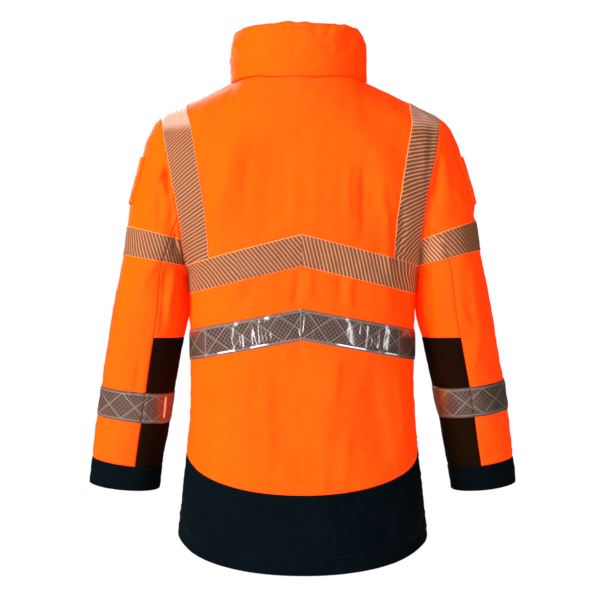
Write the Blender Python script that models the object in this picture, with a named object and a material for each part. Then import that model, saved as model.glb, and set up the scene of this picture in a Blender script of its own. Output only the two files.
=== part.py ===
"""Hi-vis work jacket, filled out as if worn: one named solid for each piece that is cut and sewn on.

Frame: metres, +Z up. The back of the jacket faces +Y, its front faces -Y and the wearer's left arm is at +X.
The origin is the middle of the neck opening, at the level where the collar is sewn on.
All sizes below are millimetres until a mesh is made. "side" is +1 for the wearer's left and -1 for the right;
every shape function works on the +X half, and the mesh builder mirrors it for the right.
"""

import math
from collections import namedtuple

import bmesh
import bpy
from mathutils import Vector

METRE = 0.001

# ---------------------------------------------------------------- driving dimensions

TAPE_WIDTH = 50.0
CLOTH = 1.6  # shell cloth with its taped seams
TAPE_THICK = 0.8
SEAM_GAP = 0.34  # between two pieces that are sewn together
LIFT = 0.3  # between a panel and the tape that lies on it

NECK_HALF_WIDTH = 112.5
NECK_HALF_DEPTH = 86.0
NECK_Z_SIDE = -1.0
SHOULDER_TIP = (231.0, -57.0)  # x, z
ARMPIT = (191.0, -322.0)
ARMHOLE_MID_Z = (SHOULDER_TIP[1] + ARMPIT[1]) / 2
ARMHOLE_HALF_HEIGHT = (SHOULDER_TIP[1] - ARMPIT[1]) / 2
ARMHOLE_HALF_DEPTH = 75.0
BODY_POWER = 2.4  # of the superellipse that the trunk's level sections follow
ZIP_HALF = 6.0  # the fronts end this far from the centre line
ZIP_TEETH_HALF = 0.8

COLLAR_THICK = 13.0
COLLAR_TOP = {"back": 90.0, "side": 80.0, "front": 44.0}
CollarStep = namedtuple("CollarStep", "up below_top out")
# The loop round the collar's thickness: "up" is a part of its height, "below_top" takes off that many half
# thicknesses to round the top edge, and "out" is measured out from the neck seam.
COLLAR_LOOP = (
    CollarStep(0.0, 0.0, 1.0),
    CollarStep(0.06, 0.0, 1.8),
    CollarStep(0.3, 0.0, 2.0),
    CollarStep(0.6, 0.0, 1.2),
    CollarStep(1.0, 1.0, -1.0),
    CollarStep(1.0, 0.3, -3.0),
    CollarStep(1.0, 0.0, -7.5),
    CollarStep(1.0, 0.3, -12.0),
    CollarStep(1.0, 1.0, -1.0 - COLLAR_THICK),
    CollarStep(0.5, 0.0, -12.0),
    CollarStep(0.2, 0.0, -10.0),
    CollarStep(0.0, 0.0, -4.0),
)
OUTER_COLLAR_STEPS = 5  # of them, those on the outer face, which the zip follows up

PATCH_ANGLE = 27.0  # half the width of the sleeve patch, round the sleeve
PATCH_THICK = 3.2

# ---------------------------------------------------------------- tables

Ridge = namedtuple("Ridge", "x z")
# The top line of the shoulders, carried on under the collar to the centre.
RIDGE = (
    Ridge(0, 50),
    Ridge(60, 35),
    Ridge(90, 17.5),
    Ridge(NECK_HALF_WIDTH, NECK_Z_SIDE),
    Ridge(150, -18.5),
    Ridge(190, -36.5),
    Ridge(SHOULDER_TIP[0], SHOULDER_TIP[1]),
    Ridge(290, -84),
)

Edge = namedtuple("Edge", "z x")
# The armhole's edge seen from behind, from the armpit up to the shoulder tip.
ARMHOLE = (
    Edge(ARMPIT[1], ARMPIT[0]),
    Edge(-303, 193.6),
    Edge(-270, 196),
    Edge(-234, 200),
    Edge(-190, 206.5),
    Edge(-163, 212),
    Edge(-115, 221.5),
    Edge(-82, 228),
    Edge(SHOULDER_TIP[1], SHOULDER_TIP[0]),
)

Section = namedtuple("Section", "z half_width back front")
# Level sections of the trunk. Above the armpit the half width follows from the armhole's edge.
TRUNK = (
    Section(-860, 219, 172, 166),
    Section(-793, 213, 161, 160),
    Section(-749, 208, 155, 157),
    Section(-699, 202, 149, 152),
    Section(-665, 198.5, 144, 149),
    Section(-598, 191.5, 131, 144),
    Section(-531, 187.5, 122, 140),
    Section(-481, 186, 119, 140),
    Section(-430, 186.5, 119, 142),
    Section(-380, 187, 120, 145),
    Section(-345, 188, 121, 146),
    Section(ARMPIT[1], ARMPIT[0], 121.5, 146),
    Section(-258, 197, 122, 143),
    Section(-200, 205, 121.5, 135),
    Section(-150, 210, 119, 124),
    Section(-100, 210, 114, 108),
    Section(-50, 210, 111, 89),
    Section(0, 210, 110, 80),
    Section(60, 210, 109, 76),
)

Level = namedtuple("Level", "name centre side straight front")
# Rows of the body panels from the hem up: height at the centre back, at the side seam and at the centre front.
# "straight" is 1 where the row runs straight to a point at the centre back, as a mitred tape does, and 0 where
# it is a round curve, as the drop-tail hem is.
HEM_LEVELS = (
    Level("hem", -793, -743, 0.0, -750),
    Level("hem_mid", -732, -677, 0.0, -696),
    Level("hem_seam", -670, -611, 0.0, -642),
)
BODY_LEVELS = (
    Level("hem_seam", -670, -611, 0.0, -642),
    Level("skirt", -592, -560, 0.3, -580),
    Level("waist", -508, -510, 0.7, -520),
    Level("low_tape_bottom", -427, -462, 1.0, -462),
    Level("low_tape_top", -427 + TAPE_WIDTH, -462 + TAPE_WIDTH, 1.0, -462 + TAPE_WIDTH),
    Level("chest", -343, -383, 1.0, -383),
    Level("high_tape_bottom", -309.5, -354, 1.0, -354),
    Level("armpit", -278, ARMPIT[1], 1.0, ARMPIT[1]),
)
HIGH_TAPE_TOP = Level("high_tape_top", -258.5, None, 1.0, -354 + TAPE_WIDTH)
# The armhole's own angle, 0 at the shoulder tip and 180 at the armpit, where a row of the body or sleeve ends.
HIGH_TAPE_TOP_ANGLE = 152.0
SLEEVE_TAPE_TOP_ANGLE = 124.0
SEAM_START_ANGLE = 108.0
ARMHOLE_ANGLES = (HIGH_TAPE_TOP_ANGLE, SLEEVE_TAPE_TOP_ANGLE, SEAM_START_ANGLE, 95, 80, 60, 42, 22, 0)

# Columns of the body panels: how many steps, and where they lie on the trunk's sections and on the top edge.
NECK_STEPS, RIDGE_STEPS, STRIP_STEPS = 6, 2, 3
NECK_COLUMN_ANGLE, STRIP_COLUMN_ANGLE = 28.0, 48.0
NECK_COLUMN_X, STRIP_COLUMN_X = 105.0, 149.0  # on the top edge of the high tape
STRIP_RIDGE_X = 185.0  # where the inner edge of the shoulder tape meets the shoulder seam

Cap = namedtuple("Cap", "name outer_x outer_z end")
# Sleeve rows above the armpit: the outer line and the armhole angle where the row ends at both sides.
SLEEVE_CAP = (
    Cap("top", 242.5, -67, 22),
    Cap("head", 256, -91, 42),
    Cap("patch_top", 267.5, -124, 60),
    Cap("patch_mid", 277.5, -166, 80),
    Cap("patch_bottom", 286, -204, 95),
    Cap("seam_start", 288.5, -221, SEAM_START_ANGLE),
    Cap("tape_top", 291.5, -235, SLEEVE_TAPE_TOP_ANGLE),
    Cap("tape_bottom", 299, -284, HIGH_TAPE_TOP_ANGLE),
    Cap("armpit", 302.5, -301, 180),
)
Ring = namedtuple("Ring", "name outer_x outer_z inner_x inner_z back front lean")
# Sleeve rows below the armpit: whole rings, with their depth to the back and front of a centre that leans.
SLEEVE_RINGS = (
    Ring("arm_1", 307, -326, 192.0, -345, 75, 88, 0),
    Ring("arm_2", 312.5, -356, 192.0, -372, 74, 84, -1),
    Ring("arm_3", 318.5, -387, 194.5, -399, 72, 79, -3),
    Ring("panel_top", 324.5, -419, 200, -425, 69, 74, -5),
    Ring("elbow", 331, -458, 208.5, -466, 65, 68, -8),
    Ring("low_tape_top", 337.5, -500, 218, -513, 60, 61, -12),
    Ring("low_tape_bottom", 345, -549, 227.5, -563, 55, 55, -16),
    Ring("forearm", 351, -591, 235, -605, 51, 50, -20),
    Ring("cuff_seam", 356, -626, 241.5, -642, 48, 47, -23),
)
CUFF_RINGS = (
    SLEEVE_RINGS[-1],
    Ring("cuff_mid", 358.8, -648, 244, -662, 47, 46, -24),
    Ring("cuff_end", 361.5, -669, 246.5, -681, 46, 45, -25),
)
# The wearer's right sleeve hangs a little straighter, with its back seam turned outwards and its tapes higher.
SLEEVE_SEAM_BACK = {1: 108.0, -1: 94.0}
SLEEVE_SEAM_FRONT = 125.0
SLEEVE_INNER_SHIFT = {1: -4.0, -1: 4.0}
SLEEVE_TAPE_SHIFT = {1: -4.5, -1: 4.5}
SLEEVE_PATCH_SHIFT = {1: 0.0, -1: 4.0}
SLEEVE_TILT = 0.09  # the forearm leans forward, so a ring's back hangs lower than its front
TOP_SLEEVE_STEPS, UNDER_SLEEVE_STEPS = 4, 3

Sway = namedtuple("Sway", "z x")
# The jacket hangs a few millimetres to one side below its collar.
SWAY = (
    Sway(-800, -8.0),
    Sway(-740, -7.0),
    Sway(-400, -5.8),
    Sway(-230, -4.7),
    Sway(-80, -3.9),
    Sway(-45, 0.0),
    Sway(95, 0.0),
)

Fold = namedtuple("Fold", "x_top z_top x_low z_low half_width height")
# The largest soft folds of the back, as ridges (or troughs, below zero) along a line.
BACK_FOLDS = (
    Fold(96, -105, 104, -235, 26, 5.0),
    Fold(60, -120, 62, -250, 24, -3.0),
    Fold(-128, -115, -150, -240, 24, 4.5),
    Fold(-100, -130, -118, -245, 22, -3.5),
    Fold(70, -470, 82, -640, 34, 3.5),
    Fold(-40, -450, -52, -620, 30, 3.0),
    Fold(-118, -480, -122, -650, 30, -3.0),
    Fold(14, -440, 10, -600, 26, -2.5),
)
FRONT_FOLDS = (
    Fold(95, -120, 120, -270, 30, 4.0),
    Fold(-100, -130, -124, -275, 28, 4.5),
    Fold(80, -480, 92, -640, 32, 3.5),
    Fold(-70, -470, -84, -630, 34, 3.0),
)

PALETTE = {
    "orange": (0.95, 0.16, 0.02),
    "navy": (0.008, 0.014, 0.022),
    "dark": (0.02, 0.01, 0.005),
    "striped": (0.42, 0.26, 0.19),
    "prismatic": (0.16, 0.12, 0.1),
    "zip": (0.02, 0.02, 0.025),
    "metal": (0.45, 0.45, 0.46),
}


# ---------------------------------------------------------------- curves through the tables


def clamp(value, low, high):
    return max(low, min(high, value))


def lerp(first, second, amount):
    return first + (second - first) * amount


def read(table, key, column, at):
    """The table's column at a value of its key, by a cubic that never overshoots its rows."""
    keys = [getattr(row, key) for row in table]
    values = [getattr(row, column) for row in table]
    at = clamp(at, keys[0], keys[-1])
    i = 0
    while i < len(keys) - 2 and at > keys[i + 1]:
        i += 1
    slopes = [(values[k + 1] - values[k]) / (keys[k + 1] - keys[k]) for k in range(len(keys) - 1)]

    def tangent(k):
        if k == 0:
            return slopes[0]
        if k == len(keys) - 1:
            return slopes[-1]
        before, after = slopes[k - 1], slopes[k]
        if before * after <= 0:
            return 0.0
        return 2 * before * after / (before + after)

    span = keys[i + 1] - keys[i]
    t = (at - keys[i]) / span
    rise = values[i + 1] - values[i]
    start, end = tangent(i) * span, tangent(i + 1) * span
    return values[i] + t * (start + t * (3 * rise - 2 * start - end + t * (start + end - 2 * rise)))


def placed(point, side):
    """A point of the +X half on its own side of the jacket, with the jacket's slight sway."""
    return Vector((side * point.x + read(SWAY, "z", "x", point.z), point.y, point.z))


def ridge_z(x):
    return read(RIDGE, "x", "z", abs(x))


# ---------------------------------------------------------------- the trunk's surface


def armhole_x(z):
    return read(ARMHOLE, "z", "x", z)


def armhole_z(angle):
    return ARMHOLE_MID_Z + ARMHOLE_HALF_HEIGHT * math.cos(math.radians(angle))


def arch(x, z):
    """0 on the shoulder's ridge, rising along a quarter of an oval to 1 well below it."""
    drop = clamp((ridge_z(x) - z) / ARMHOLE_HALF_HEIGHT, 0.0, 1.0)
    return math.sqrt(drop * (2 - drop))


def half_width(z):
    """Half the width that a level section would have if the armhole didn't cut it."""
    if z <= ARMPIT[1]:
        return read(TRUNK, "z", "half_width", z)
    z = min(z, armhole_z(12))
    sine = math.sqrt(1 - ((z - ARMHOLE_MID_Z) / ARMHOLE_HALF_HEIGHT) ** 2)
    x = armhole_x(z)
    part = ARMHOLE_HALF_DEPTH * sine / (read(TRUNK, "z", "back", z) * arch(x, z))
    return x / (1 - part**BODY_POWER) ** (1 / BODY_POWER)


def fold_height(folds, x, z):
    total = 0.0
    for fold in folds:
        down = clamp((fold.z_top - z) / (fold.z_top - fold.z_low), -0.4, 1.4)
        across = (x - lerp(fold.x_top, fold.x_low, down)) / fold.half_width
        ends = max(0.0, math.sin(math.pi * (down + 0.4) / 1.8))
        total += fold.height * ends * ends * math.exp(-across * across)
    return total


def body_y(x, z, facing, folded=0.0):
    """How far back (facing 1) or forward (facing -1) the trunk's cloth lies. "folded" is the side to fold."""
    part = clamp(abs(x) / half_width(z), 0.0, 1.0) ** BODY_POWER
    depth = read(TRUNK, "z", "back" if facing > 0 else "front", z)
    reach = depth * (1 - part) ** (1 / BODY_POWER) * arch(x, z)
    if folded:
        fade = (1 - part) * arch(x, z)
        reach += fade * fold_height(BACK_FOLDS if facing > 0 else FRONT_FOLDS, folded * x, z)
    return facing * reach


def armhole_point(angle, facing):
    z = armhole_z(angle)
    x = armhole_x(z)
    if facing > 0:
        return Vector((x, ARMHOLE_HALF_DEPTH * math.sin(math.radians(angle)), z))
    return Vector((x, body_y(x, z, -1) if 0 < angle < 180 else 0.0, z))


def neck_point(angle):
    """On the collar seam: 0 at the centre back, 90 at the shoulder, 180 at the centre front."""
    turn = math.radians(angle)
    x = NECK_HALF_WIDTH * math.sin(turn)
    y = NECK_HALF_DEPTH * math.cos(turn)
    if abs(angle - 90) < 0.01:
        return Vector((x, 0.0, ridge_z(x)))
    facing = 1 if y > 0 else -1
    low, high = -120.0, ridge_z(x)
    for _ in range(40):
        middle = (low + high) / 2
        if abs(body_y(x, middle, facing)) > abs(y):
            low = middle
        else:
            high = middle
    return Vector((x, y, low))


def section_point(angle, level, facing, side):
    """On a row below the armpit, at an angle of 0 on the centre line to 90 at the side seam."""
    turn = math.radians(clamp(angle, 0, 90))
    centre = level.centre if facing > 0 else level.front
    straight = level.straight if facing > 0 else 0.6
    z = level.side
    for _ in range(8):
        x = half_width(z) * math.sin(turn) ** (2 / BODY_POWER)
        across = clamp(x / half_width(level.side), 0.0, 1.0)
        rounded = 1 - math.sqrt(1 - across * across)
        z = lerp(centre, level.side, lerp(rounded, across, straight))
    if angle >= 90:
        return Vector((half_width(level.side), 0.0, level.side))
    return Vector((x, body_y(x, z, facing, folded=side), z))


def column_stations():
    """Each column's place as (zone, part of the zone), from the centre line to the side."""
    stations = [("neck", step / NECK_STEPS) for step in range(NECK_STEPS)]
    stations += [("ridge", step / RIDGE_STEPS) for step in range(RIDGE_STEPS)]
    stations += [("strip", step / STRIP_STEPS) for step in range(STRIP_STEPS + 1)]
    return stations


STRIP_COLUMN = NECK_STEPS + RIDGE_STEPS
LAST_COLUMN = STRIP_COLUMN + STRIP_STEPS


def section_angle(zone, part, start):
    if zone == "neck":
        return lerp(start, NECK_COLUMN_ANGLE, part)
    if zone == "ridge":
        return lerp(NECK_COLUMN_ANGLE, STRIP_COLUMN_ANGLE, part)
    return lerp(STRIP_COLUMN_ANGLE, 90, part)


def tape_top_point(zone, part, facing, start_x):
    """On the top edge of the high tape, the first row that ends on the armhole."""
    edge_z = armhole_z(HIGH_TAPE_TOP_ANGLE)
    edge_x = armhole_x(edge_z)
    if zone == "neck":
        x = lerp(start_x, NECK_COLUMN_X, part)
    elif zone == "ridge":
        x = lerp(NECK_COLUMN_X, STRIP_COLUMN_X, part)
    else:
        x = lerp(STRIP_COLUMN_X, edge_x, math.sin(math.pi / 2 * part))
    centre = HIGH_TAPE_TOP.centre if facing > 0 else HIGH_TAPE_TOP.front
    return x, lerp(centre, edge_z, x / edge_x)


def top_edge_point(zone, part, facing, start_x):
    """On the neck seam, and then on the shoulder seam out to its tip."""
    if zone == "neck":
        start = math.degrees(math.asin(start_x / NECK_HALF_WIDTH))
        angle = lerp(start, 90, part)
        return neck_point(angle if facing > 0 else 180 - angle)
    if zone == "ridge":
        x = lerp(NECK_HALF_WIDTH, STRIP_RIDGE_X, part)
    else:
        x = lerp(STRIP_RIDGE_X, SHOULDER_TIP[0], part)
    return Vector((x, 0.0, ridge_z(x)))


def yoke_row(angle, facing, start_x, side):
    """A row above the high tape, which ends at this angle of the armhole."""
    bottom_z, top_z = armhole_z(HIGH_TAPE_TOP_ANGLE), SHOULDER_TIP[1]
    edge = armhole_point(angle, facing)
    risen = (edge.z - bottom_z) / (top_z - bottom_z)
    pull = edge.x - lerp(armhole_x(bottom_z), SHOULDER_TIP[0], risen)
    row = []
    for column, (zone, part) in enumerate(column_stations()):
        if angle == 0:
            row.append(top_edge_point(zone, part, facing, start_x))
            continue
        if column == LAST_COLUMN:
            row.append(edge)
            continue
        low_x, low_z = tape_top_point(zone, part, facing, start_x)
        high = top_edge_point(zone, part, facing, start_x)
        x = lerp(low_x, high.x, risen) + pull * min(1.0, column / STRIP_COLUMN)
        z = lerp(low_z, high.z, risen)
        row.append(Vector((x, body_y(x, z, facing, folded=side), z)))
    return row


def body_grid(levels, facing, side, with_yoke):
    """Rows from the bottom up, columns from the centre line out, on the +X half."""
    start_x = 0.0 if facing > 0 else ZIP_HALF
    grid = []
    for level in levels:
        width = half_width(level.side)
        start = math.degrees(math.asin((start_x / width) ** (BODY_POWER / 2)))
        grid.append(
            [
                section_point(section_angle(zone, part, start), level, facing, side)
                for zone, part in column_stations()
            ]
        )
    if with_yoke:
        grid += [yoke_row(angle, facing, start_x, side) for angle in ARMHOLE_ANGLES]
    return grid


# ---------------------------------------------------------------- the sleeve's surface


def cap_point(cap, angle, side):
    """On a row above the armpit: angle 0 on the outer line, positive to the back, at most the row's end."""
    facing = 1 if angle >= 0 else -1
    if abs(angle) >= cap.end - 1e-6:
        return armhole_point(cap.end, facing)
    end = armhole_point(cap.end, facing)
    shift = SLEEVE_TAPE_SHIFT[side] if cap.name in ("tape_top", "tape_bottom") else 0.0
    bulge = SLEEVE_PATCH_SHIFT[side] if cap.name in ("patch_mid", "patch_bottom") else 0.0
    outer = Vector((cap.outer_x + bulge, 0.0, cap.outer_z + shift))
    inward = Vector((end.x - outer.x, 0.0, end.z - outer.z))
    reach = inward.length / (1 - math.cos(math.radians(cap.end)))
    depth = abs(end.y) / math.sin(math.radians(cap.end)) if cap.end < 180 else ring_depth(facing)
    turn = math.radians(angle)
    point = outer + inward.normalized() * reach * (1 - math.cos(turn))
    point.y = depth * math.sin(turn)
    return point


def ring_depth(facing):
    return SLEEVE_RINGS[0].back if facing > 0 else SLEEVE_RINGS[0].front + 1.5


def ring_point(ring, angle, side):
    """On a row below the armpit, at any angle."""
    down = clamp((ARMPIT[1] - ring.inner_z) / (ARMPIT[1] - SLEEVE_RINGS[-1].inner_z), 0, 1)
    shift = SLEEVE_TAPE_SHIFT[side] if "tape" in ring.name else 0.0
    outer = Vector((ring.outer_x, ring.lean, ring.outer_z + shift))
    inner = Vector((ring.inner_x + SLEEVE_INNER_SHIFT[side] * down, ring.lean, ring.inner_z + shift))
    turn = math.radians(angle)
    depth = ring.back if math.sin(turn) >= 0 else ring.front
    middle = (outer + inner) / 2
    around = depth * math.sin(turn)
    return middle + (outer - inner) / 2 * math.cos(turn) + Vector((0, around, -SLEEVE_TILT * down * around))


def seam_angle(row, facing, side):
    """Where the top sleeve ends on a row: the armhole's end, or the seam to the under sleeve."""
    end = getattr(row, "end", 180.0)
    if facing < 0:
        seam = SLEEVE_SEAM_FRONT if end > SLEEVE_TAPE_TOP_ANGLE else SEAM_START_ANGLE + 6
    else:
        seam = SLEEVE_SEAM_BACK[side] if end > SLEEVE_TAPE_TOP_ANGLE else lerp(SLEEVE_SEAM_BACK[side], 108, 0.5)
    return min(end, seam) if end > SEAM_START_ANGLE else end


def sleeve_point(row, angle, side):
    return cap_point(row, angle, side) if isinstance(row, Cap) else ring_point(row, angle, side)


def top_sleeve_angles(row, side):
    """Columns of the top sleeve from its front seam, over the outer line, to its back seam."""
    patch = PATCH_ANGLE * min(1.0, getattr(row, "end", 180.0) / 60)
    angles = [0.0]
    for facing in (1, -1):
        seam = seam_angle(row, facing, side)
        outward = [patch / 2]
        outward += [lerp(patch, seam, k / TOP_SLEEVE_STEPS) for k in range(TOP_SLEEVE_STEPS + 1)]
        if facing > 0:
            angles += outward
        else:
            angles = [-angle for angle in reversed(outward)] + angles
    return angles


def under_sleeve_angles(row, facing, side):
    """Columns of the under sleeve from a seam to the inner line, or to the armhole's edge."""
    end = getattr(row, "end", 180.0)
    seam = seam_angle(row, facing, side)
    return [facing * lerp(seam, end, k / UNDER_SLEEVE_STEPS) for k in range(UNDER_SLEEVE_STEPS + 1)]


SLEEVE_ROWS = SLEEVE_CAP + SLEEVE_RINGS


def sleeve_row_index(name):
    return [row.name for row in SLEEVE_ROWS].index(name)


# ---------------------------------------------------------------- cloth made of welded faces


def key_of(point):
    return tuple(round(value, 2) for value in point)


class Cloth:
    """Faces on shared points. A wall or a tape is raised from them along normals that all the panels share."""

    shared = {}

    def __init__(self, name, material):
        self.name = name
        self.material = material
        self.points = {}
        self.faces = []

    def add(self, corners, side, turned):
        """One face of the +X half, mirrored for the right side. "turned" reverses its winding."""
        points = [placed(point, side) for point in corners]
        if (side < 0) != turned:
            points.reverse()
        keys = []
        for point in points:
            key = key_of(point)
            if key not in keys:
                keys.append(key)
                self.points.setdefault(key, point)
        if len(keys) > 2:
            self.faces.append(keys)

    def add_grid(self, grid, rows, columns, side=1, turned=False):
        for r in range(*rows):
            for c in range(*columns):
                corners = (grid[r][c], grid[r][c + 1], grid[r + 1][c + 1], grid[r + 1][c])
                self.add(corners, side, turned)

    def face_normal(self, keys):
        corners = [self.points[key] for key in keys]
        total = Vector((0, 0, 0))
        for i in range(1, len(corners) - 1):
            total += (corners[i] - corners[0]).cross(corners[i + 1] - corners[0])
        return total

    def share_normals(self):
        for keys in self.faces:
            normal = self.face_normal(keys)
            for key in keys:
                Cloth.shared[key] = Cloth.shared.get(key, Vector((0, 0, 0))) + normal

    @classmethod
    def turn_armhole_normals(cls):
        """On the armhole seam the walls of body and sleeve both stand square to the oval, so they never cross."""
        for angle in (*ARMHOLE_ANGLES, 180):
            for facing in (1, -1):
                point = armhole_point(angle, facing)
                turn = math.radians(angle)
                for side in (1, -1):
                    key = key_of(placed(point, side))
                    cls.shared[key] = Vector((0, facing * math.sin(turn), math.cos(turn)))

    def rim(self):
        """The edges that only one face has, in that face's direction, with the face's normal."""
        edges = {}
        for keys in self.faces:
            normal = self.face_normal(keys).normalized()
            for i, key in enumerate(keys):
                after = keys[(i + 1) % len(keys)]
                if (after, key) in edges:
                    del edges[(after, key)]
                else:
                    edges[(key, after)] = normal
        return edges

    def drawn_in(self, amount):
        """The points with the rim moved in along the cloth, so that two sewn pieces stand apart."""
        inward = {}
        for (start, end), normal in self.rim().items():
            along = (self.points[end] - self.points[start]).normalized()
            for key in (start, end):
                inward.setdefault(key, []).append(normal.cross(along).normalized())
        moved = dict(self.points)
        for key, directions in inward.items():
            total = sum(directions, Vector((0, 0, 0)))
            if total.length < 1e-6:
                continue
            unit = total.normalized()
            opening = max(0.35, unit.dot(directions[0]))
            moved[key] = self.points[key] + unit * (amount / opening)
        return moved

    def build(self, low, high):
        """One closed solid between two distances from the cloth's own surface."""
        drawn = self.drawn_in(SEAM_GAP / 2)
        mesh = bmesh.new()
        bottom, top = {}, {}
        for key, point in drawn.items():
            normal = Cloth.shared[key].normalized()
            bottom[key] = mesh.verts.new((point + normal * low) * METRE)
            top[key] = mesh.verts.new((point + normal * high) * METRE)
        for keys in self.faces:
            mesh.faces.new([top[key] for key in keys])
            mesh.faces.new([bottom[key] for key in reversed(keys)])
        for start, end in self.rim():
            mesh.faces.new((top[end], top[start], bottom[start], bottom[end]))
        return finish(mesh, self.name, self.material)


# ---------------------------------------------------------------- Blender objects


def material_for(slot):
    name = slot.replace("_", " ")
    found = bpy.data.materials.get(name)
    if found:
        return found
    made = bpy.data.materials.new(name)
    made.use_nodes = True
    shader = made.node_tree.nodes["Principled BSDF"]
    shader.inputs["Base Color"].default_value = (*PALETTE[slot], 1.0)
    shader.inputs["Roughness"].default_value = 0.25 if slot in ("prismatic", "metal") else 0.75
    shader.inputs["Metallic"].default_value = 1.0 if slot == "metal" else 0.0
    return made


def finish(mesh, name, slot):
    bmesh.ops.triangulate(mesh, faces=mesh.faces[:], quad_method="SHORT_EDGE", ngon_method="BEAUTY")
    data = bpy.data.meshes.new(name)
    mesh.to_mesh(data)
    mesh.free()
    data.materials.append(material_for(slot))
    data.shade_smooth()
    data.set_sharp_from_angle(angle=math.radians(40))
    made = bpy.data.objects.new(name, data)
    bpy.context.scene.collection.objects.link(made)
    return made


# ---------------------------------------------------------------- the pieces


SIDES = {"left": 1, "right": -1}


def level_index(name):
    return [level.name for level in BODY_LEVELS].index(name)


TAPE_ROWS = {
    "upper": (level_index("high_tape_bottom"), len(BODY_LEVELS)),
    "lower": (level_index("low_tape_bottom"), level_index("low_tape_top")),
}
STRIP_ROWS = (len(BODY_LEVELS), len(BODY_LEVELS) + len(ARMHOLE_ANGLES) - 1)


def body_panels():
    """The back, the two fronts, their hem bands and every tape on them."""
    panels, tapes = [], []
    back = Cloth("back", "orange")
    hem_back = Cloth("hem_back", "navy")
    all_columns = (0, LAST_COLUMN)
    for name, side in SIDES.items():
        for facing, place in ((1, "back"), (-1, "front")):
            turned = facing > 0
            body = body_grid(BODY_LEVELS, facing, side, True)
            hem = body_grid(HEM_LEVELS, facing, side, False)
            body_piece = back if facing > 0 else Cloth(f"front_{name}", "orange")
            hem_piece = hem_back if facing > 0 else Cloth(f"hem_front_{name}", "navy")
            body_piece.add_grid(body, (0, len(body) - 1), all_columns, side, turned)
            hem_piece.add_grid(hem, (0, len(hem) - 1), all_columns, side, turned)
            if facing < 0:
                panels += [body_piece, hem_piece]
            for height, rows in TAPE_ROWS.items():
                slot = "striped" if height == "upper" else "prismatic"
                tape = Cloth(f"tape_{place}_{height}_{name}", slot)
                tape.add_grid(body, rows, all_columns, side, turned)
                tapes.append(tape)
            strip = Cloth(f"tape_shoulder_{name}_{place}", "striped")
            strip.add_grid(body, STRIP_ROWS, (STRIP_COLUMN, LAST_COLUMN), side, turned)
            tapes.append(strip)
    return panels + [back, hem_back], tapes


def sleeve_pieces(name, side):
    """A two-piece sleeve with its dark panel, cuff, tapes and patch."""
    top = Cloth(f"sleeve_{name}_top", "orange")
    under = Cloth(f"sleeve_{name}_under", "orange")
    panel = Cloth(f"sleeve_{name}_panel", "dark")
    cuff = Cloth(f"cuff_{name}", "navy")
    grid = [[sleeve_point(row, angle, side) for angle in top_sleeve_angles(row, side)] for row in SLEEVE_ROWS]
    columns = (0, len(grid[0]) - 1)
    top.add_grid(grid, (0, len(grid) - 1), columns, side, True)
    tip = armhole_point(0, 1)
    for c in range(*columns):
        top.add((grid[0][c + 1], grid[0][c], tip), side, True)

    wedges = {}
    seam_row = sleeve_row_index("seam_start")
    dark_row = sleeve_row_index("panel_top")
    for facing in (1, -1):
        wedge = [
            [sleeve_point(row, angle, side) for angle in under_sleeve_angles(row, facing, side)]
            for row in SLEEVE_ROWS[seam_row:]
        ]
        if facing < 0:
            wedge = [list(reversed(row)) for row in wedge]
        wedges[facing] = wedge
        under.add_grid(wedge, (0, dark_row - seam_row), (0, UNDER_SLEEVE_STEPS), side, True)
        panel.add_grid(wedge, (dark_row - seam_row, len(wedge) - 1), (0, UNDER_SLEEVE_STEPS), side, True)

    cuff_angles = top_sleeve_angles(SLEEVE_RINGS[-1], side)
    cuff_angles += under_sleeve_angles(SLEEVE_RINGS[-1], 1, side)[1:]
    cuff_angles += [360 + angle for angle in reversed(under_sleeve_angles(SLEEVE_RINGS[-1], -1, side)[:-1])]
    cuff_grid = [[ring_point(ring, angle, side) for angle in cuff_angles] for ring in CUFF_RINGS]
    cuff.add_grid(cuff_grid, (0, len(cuff_grid) - 1), (0, len(cuff_angles) - 1), side, True)

    first, last = sleeve_row_index("tape_top"), sleeve_row_index("tape_bottom")
    upper = Cloth(f"tape_sleeve_{name}_upper", "striped")
    upper.add_grid(grid, (first, last), columns, side, True)
    ring = (first - seam_row, last - seam_row)
    for facing in (1, -1):
        upper.add_grid(wedges[facing], ring, (0, UNDER_SLEEVE_STEPS), side, True)
    first, last = sleeve_row_index("low_tape_top"), sleeve_row_index("low_tape_bottom")
    over = Cloth(f"tape_sleeve_{name}_lower_top", "prismatic")
    over.add_grid(grid, (first, last), columns, side, True)
    below = Cloth(f"tape_sleeve_{name}_lower_under", "prismatic")
    for facing in (1, -1):
        below.add_grid(wedges[facing], (first - seam_row, last - seam_row), (0, UNDER_SLEEVE_STEPS), side, True)

    patch = Cloth(f"sleeve_patch_{name}", "orange")
    outer_column = 2 + TOP_SLEEVE_STEPS
    patch_rows = (sleeve_row_index("patch_top"), sleeve_row_index("patch_bottom"))
    patch.add_grid(grid, patch_rows, (outer_column - 2, outer_column + 2), side, True)
    return [top, under, panel, cuff], [upper, over, below], patch


def collar_angles():
    """The stations of the neck seam's own points, from the front edge round to the centre back."""
    gap = math.degrees(math.asin(ZIP_HALF / NECK_HALF_WIDTH))
    front = [180 - lerp(gap, 90, k / NECK_STEPS) for k in range(NECK_STEPS)]
    return front + [lerp(90, 0, k / NECK_STEPS) for k in range(NECK_STEPS)]


def collar_top_z(angle):
    turn = math.radians(angle)
    middle = (COLLAR_TOP["back"] + COLLAR_TOP["front"]) / 2
    swing = (COLLAR_TOP["back"] - COLLAR_TOP["front"]) / 2
    return middle + swing * math.cos(turn) + (COLLAR_TOP["side"] - middle) * math.sin(turn) ** 2


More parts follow.
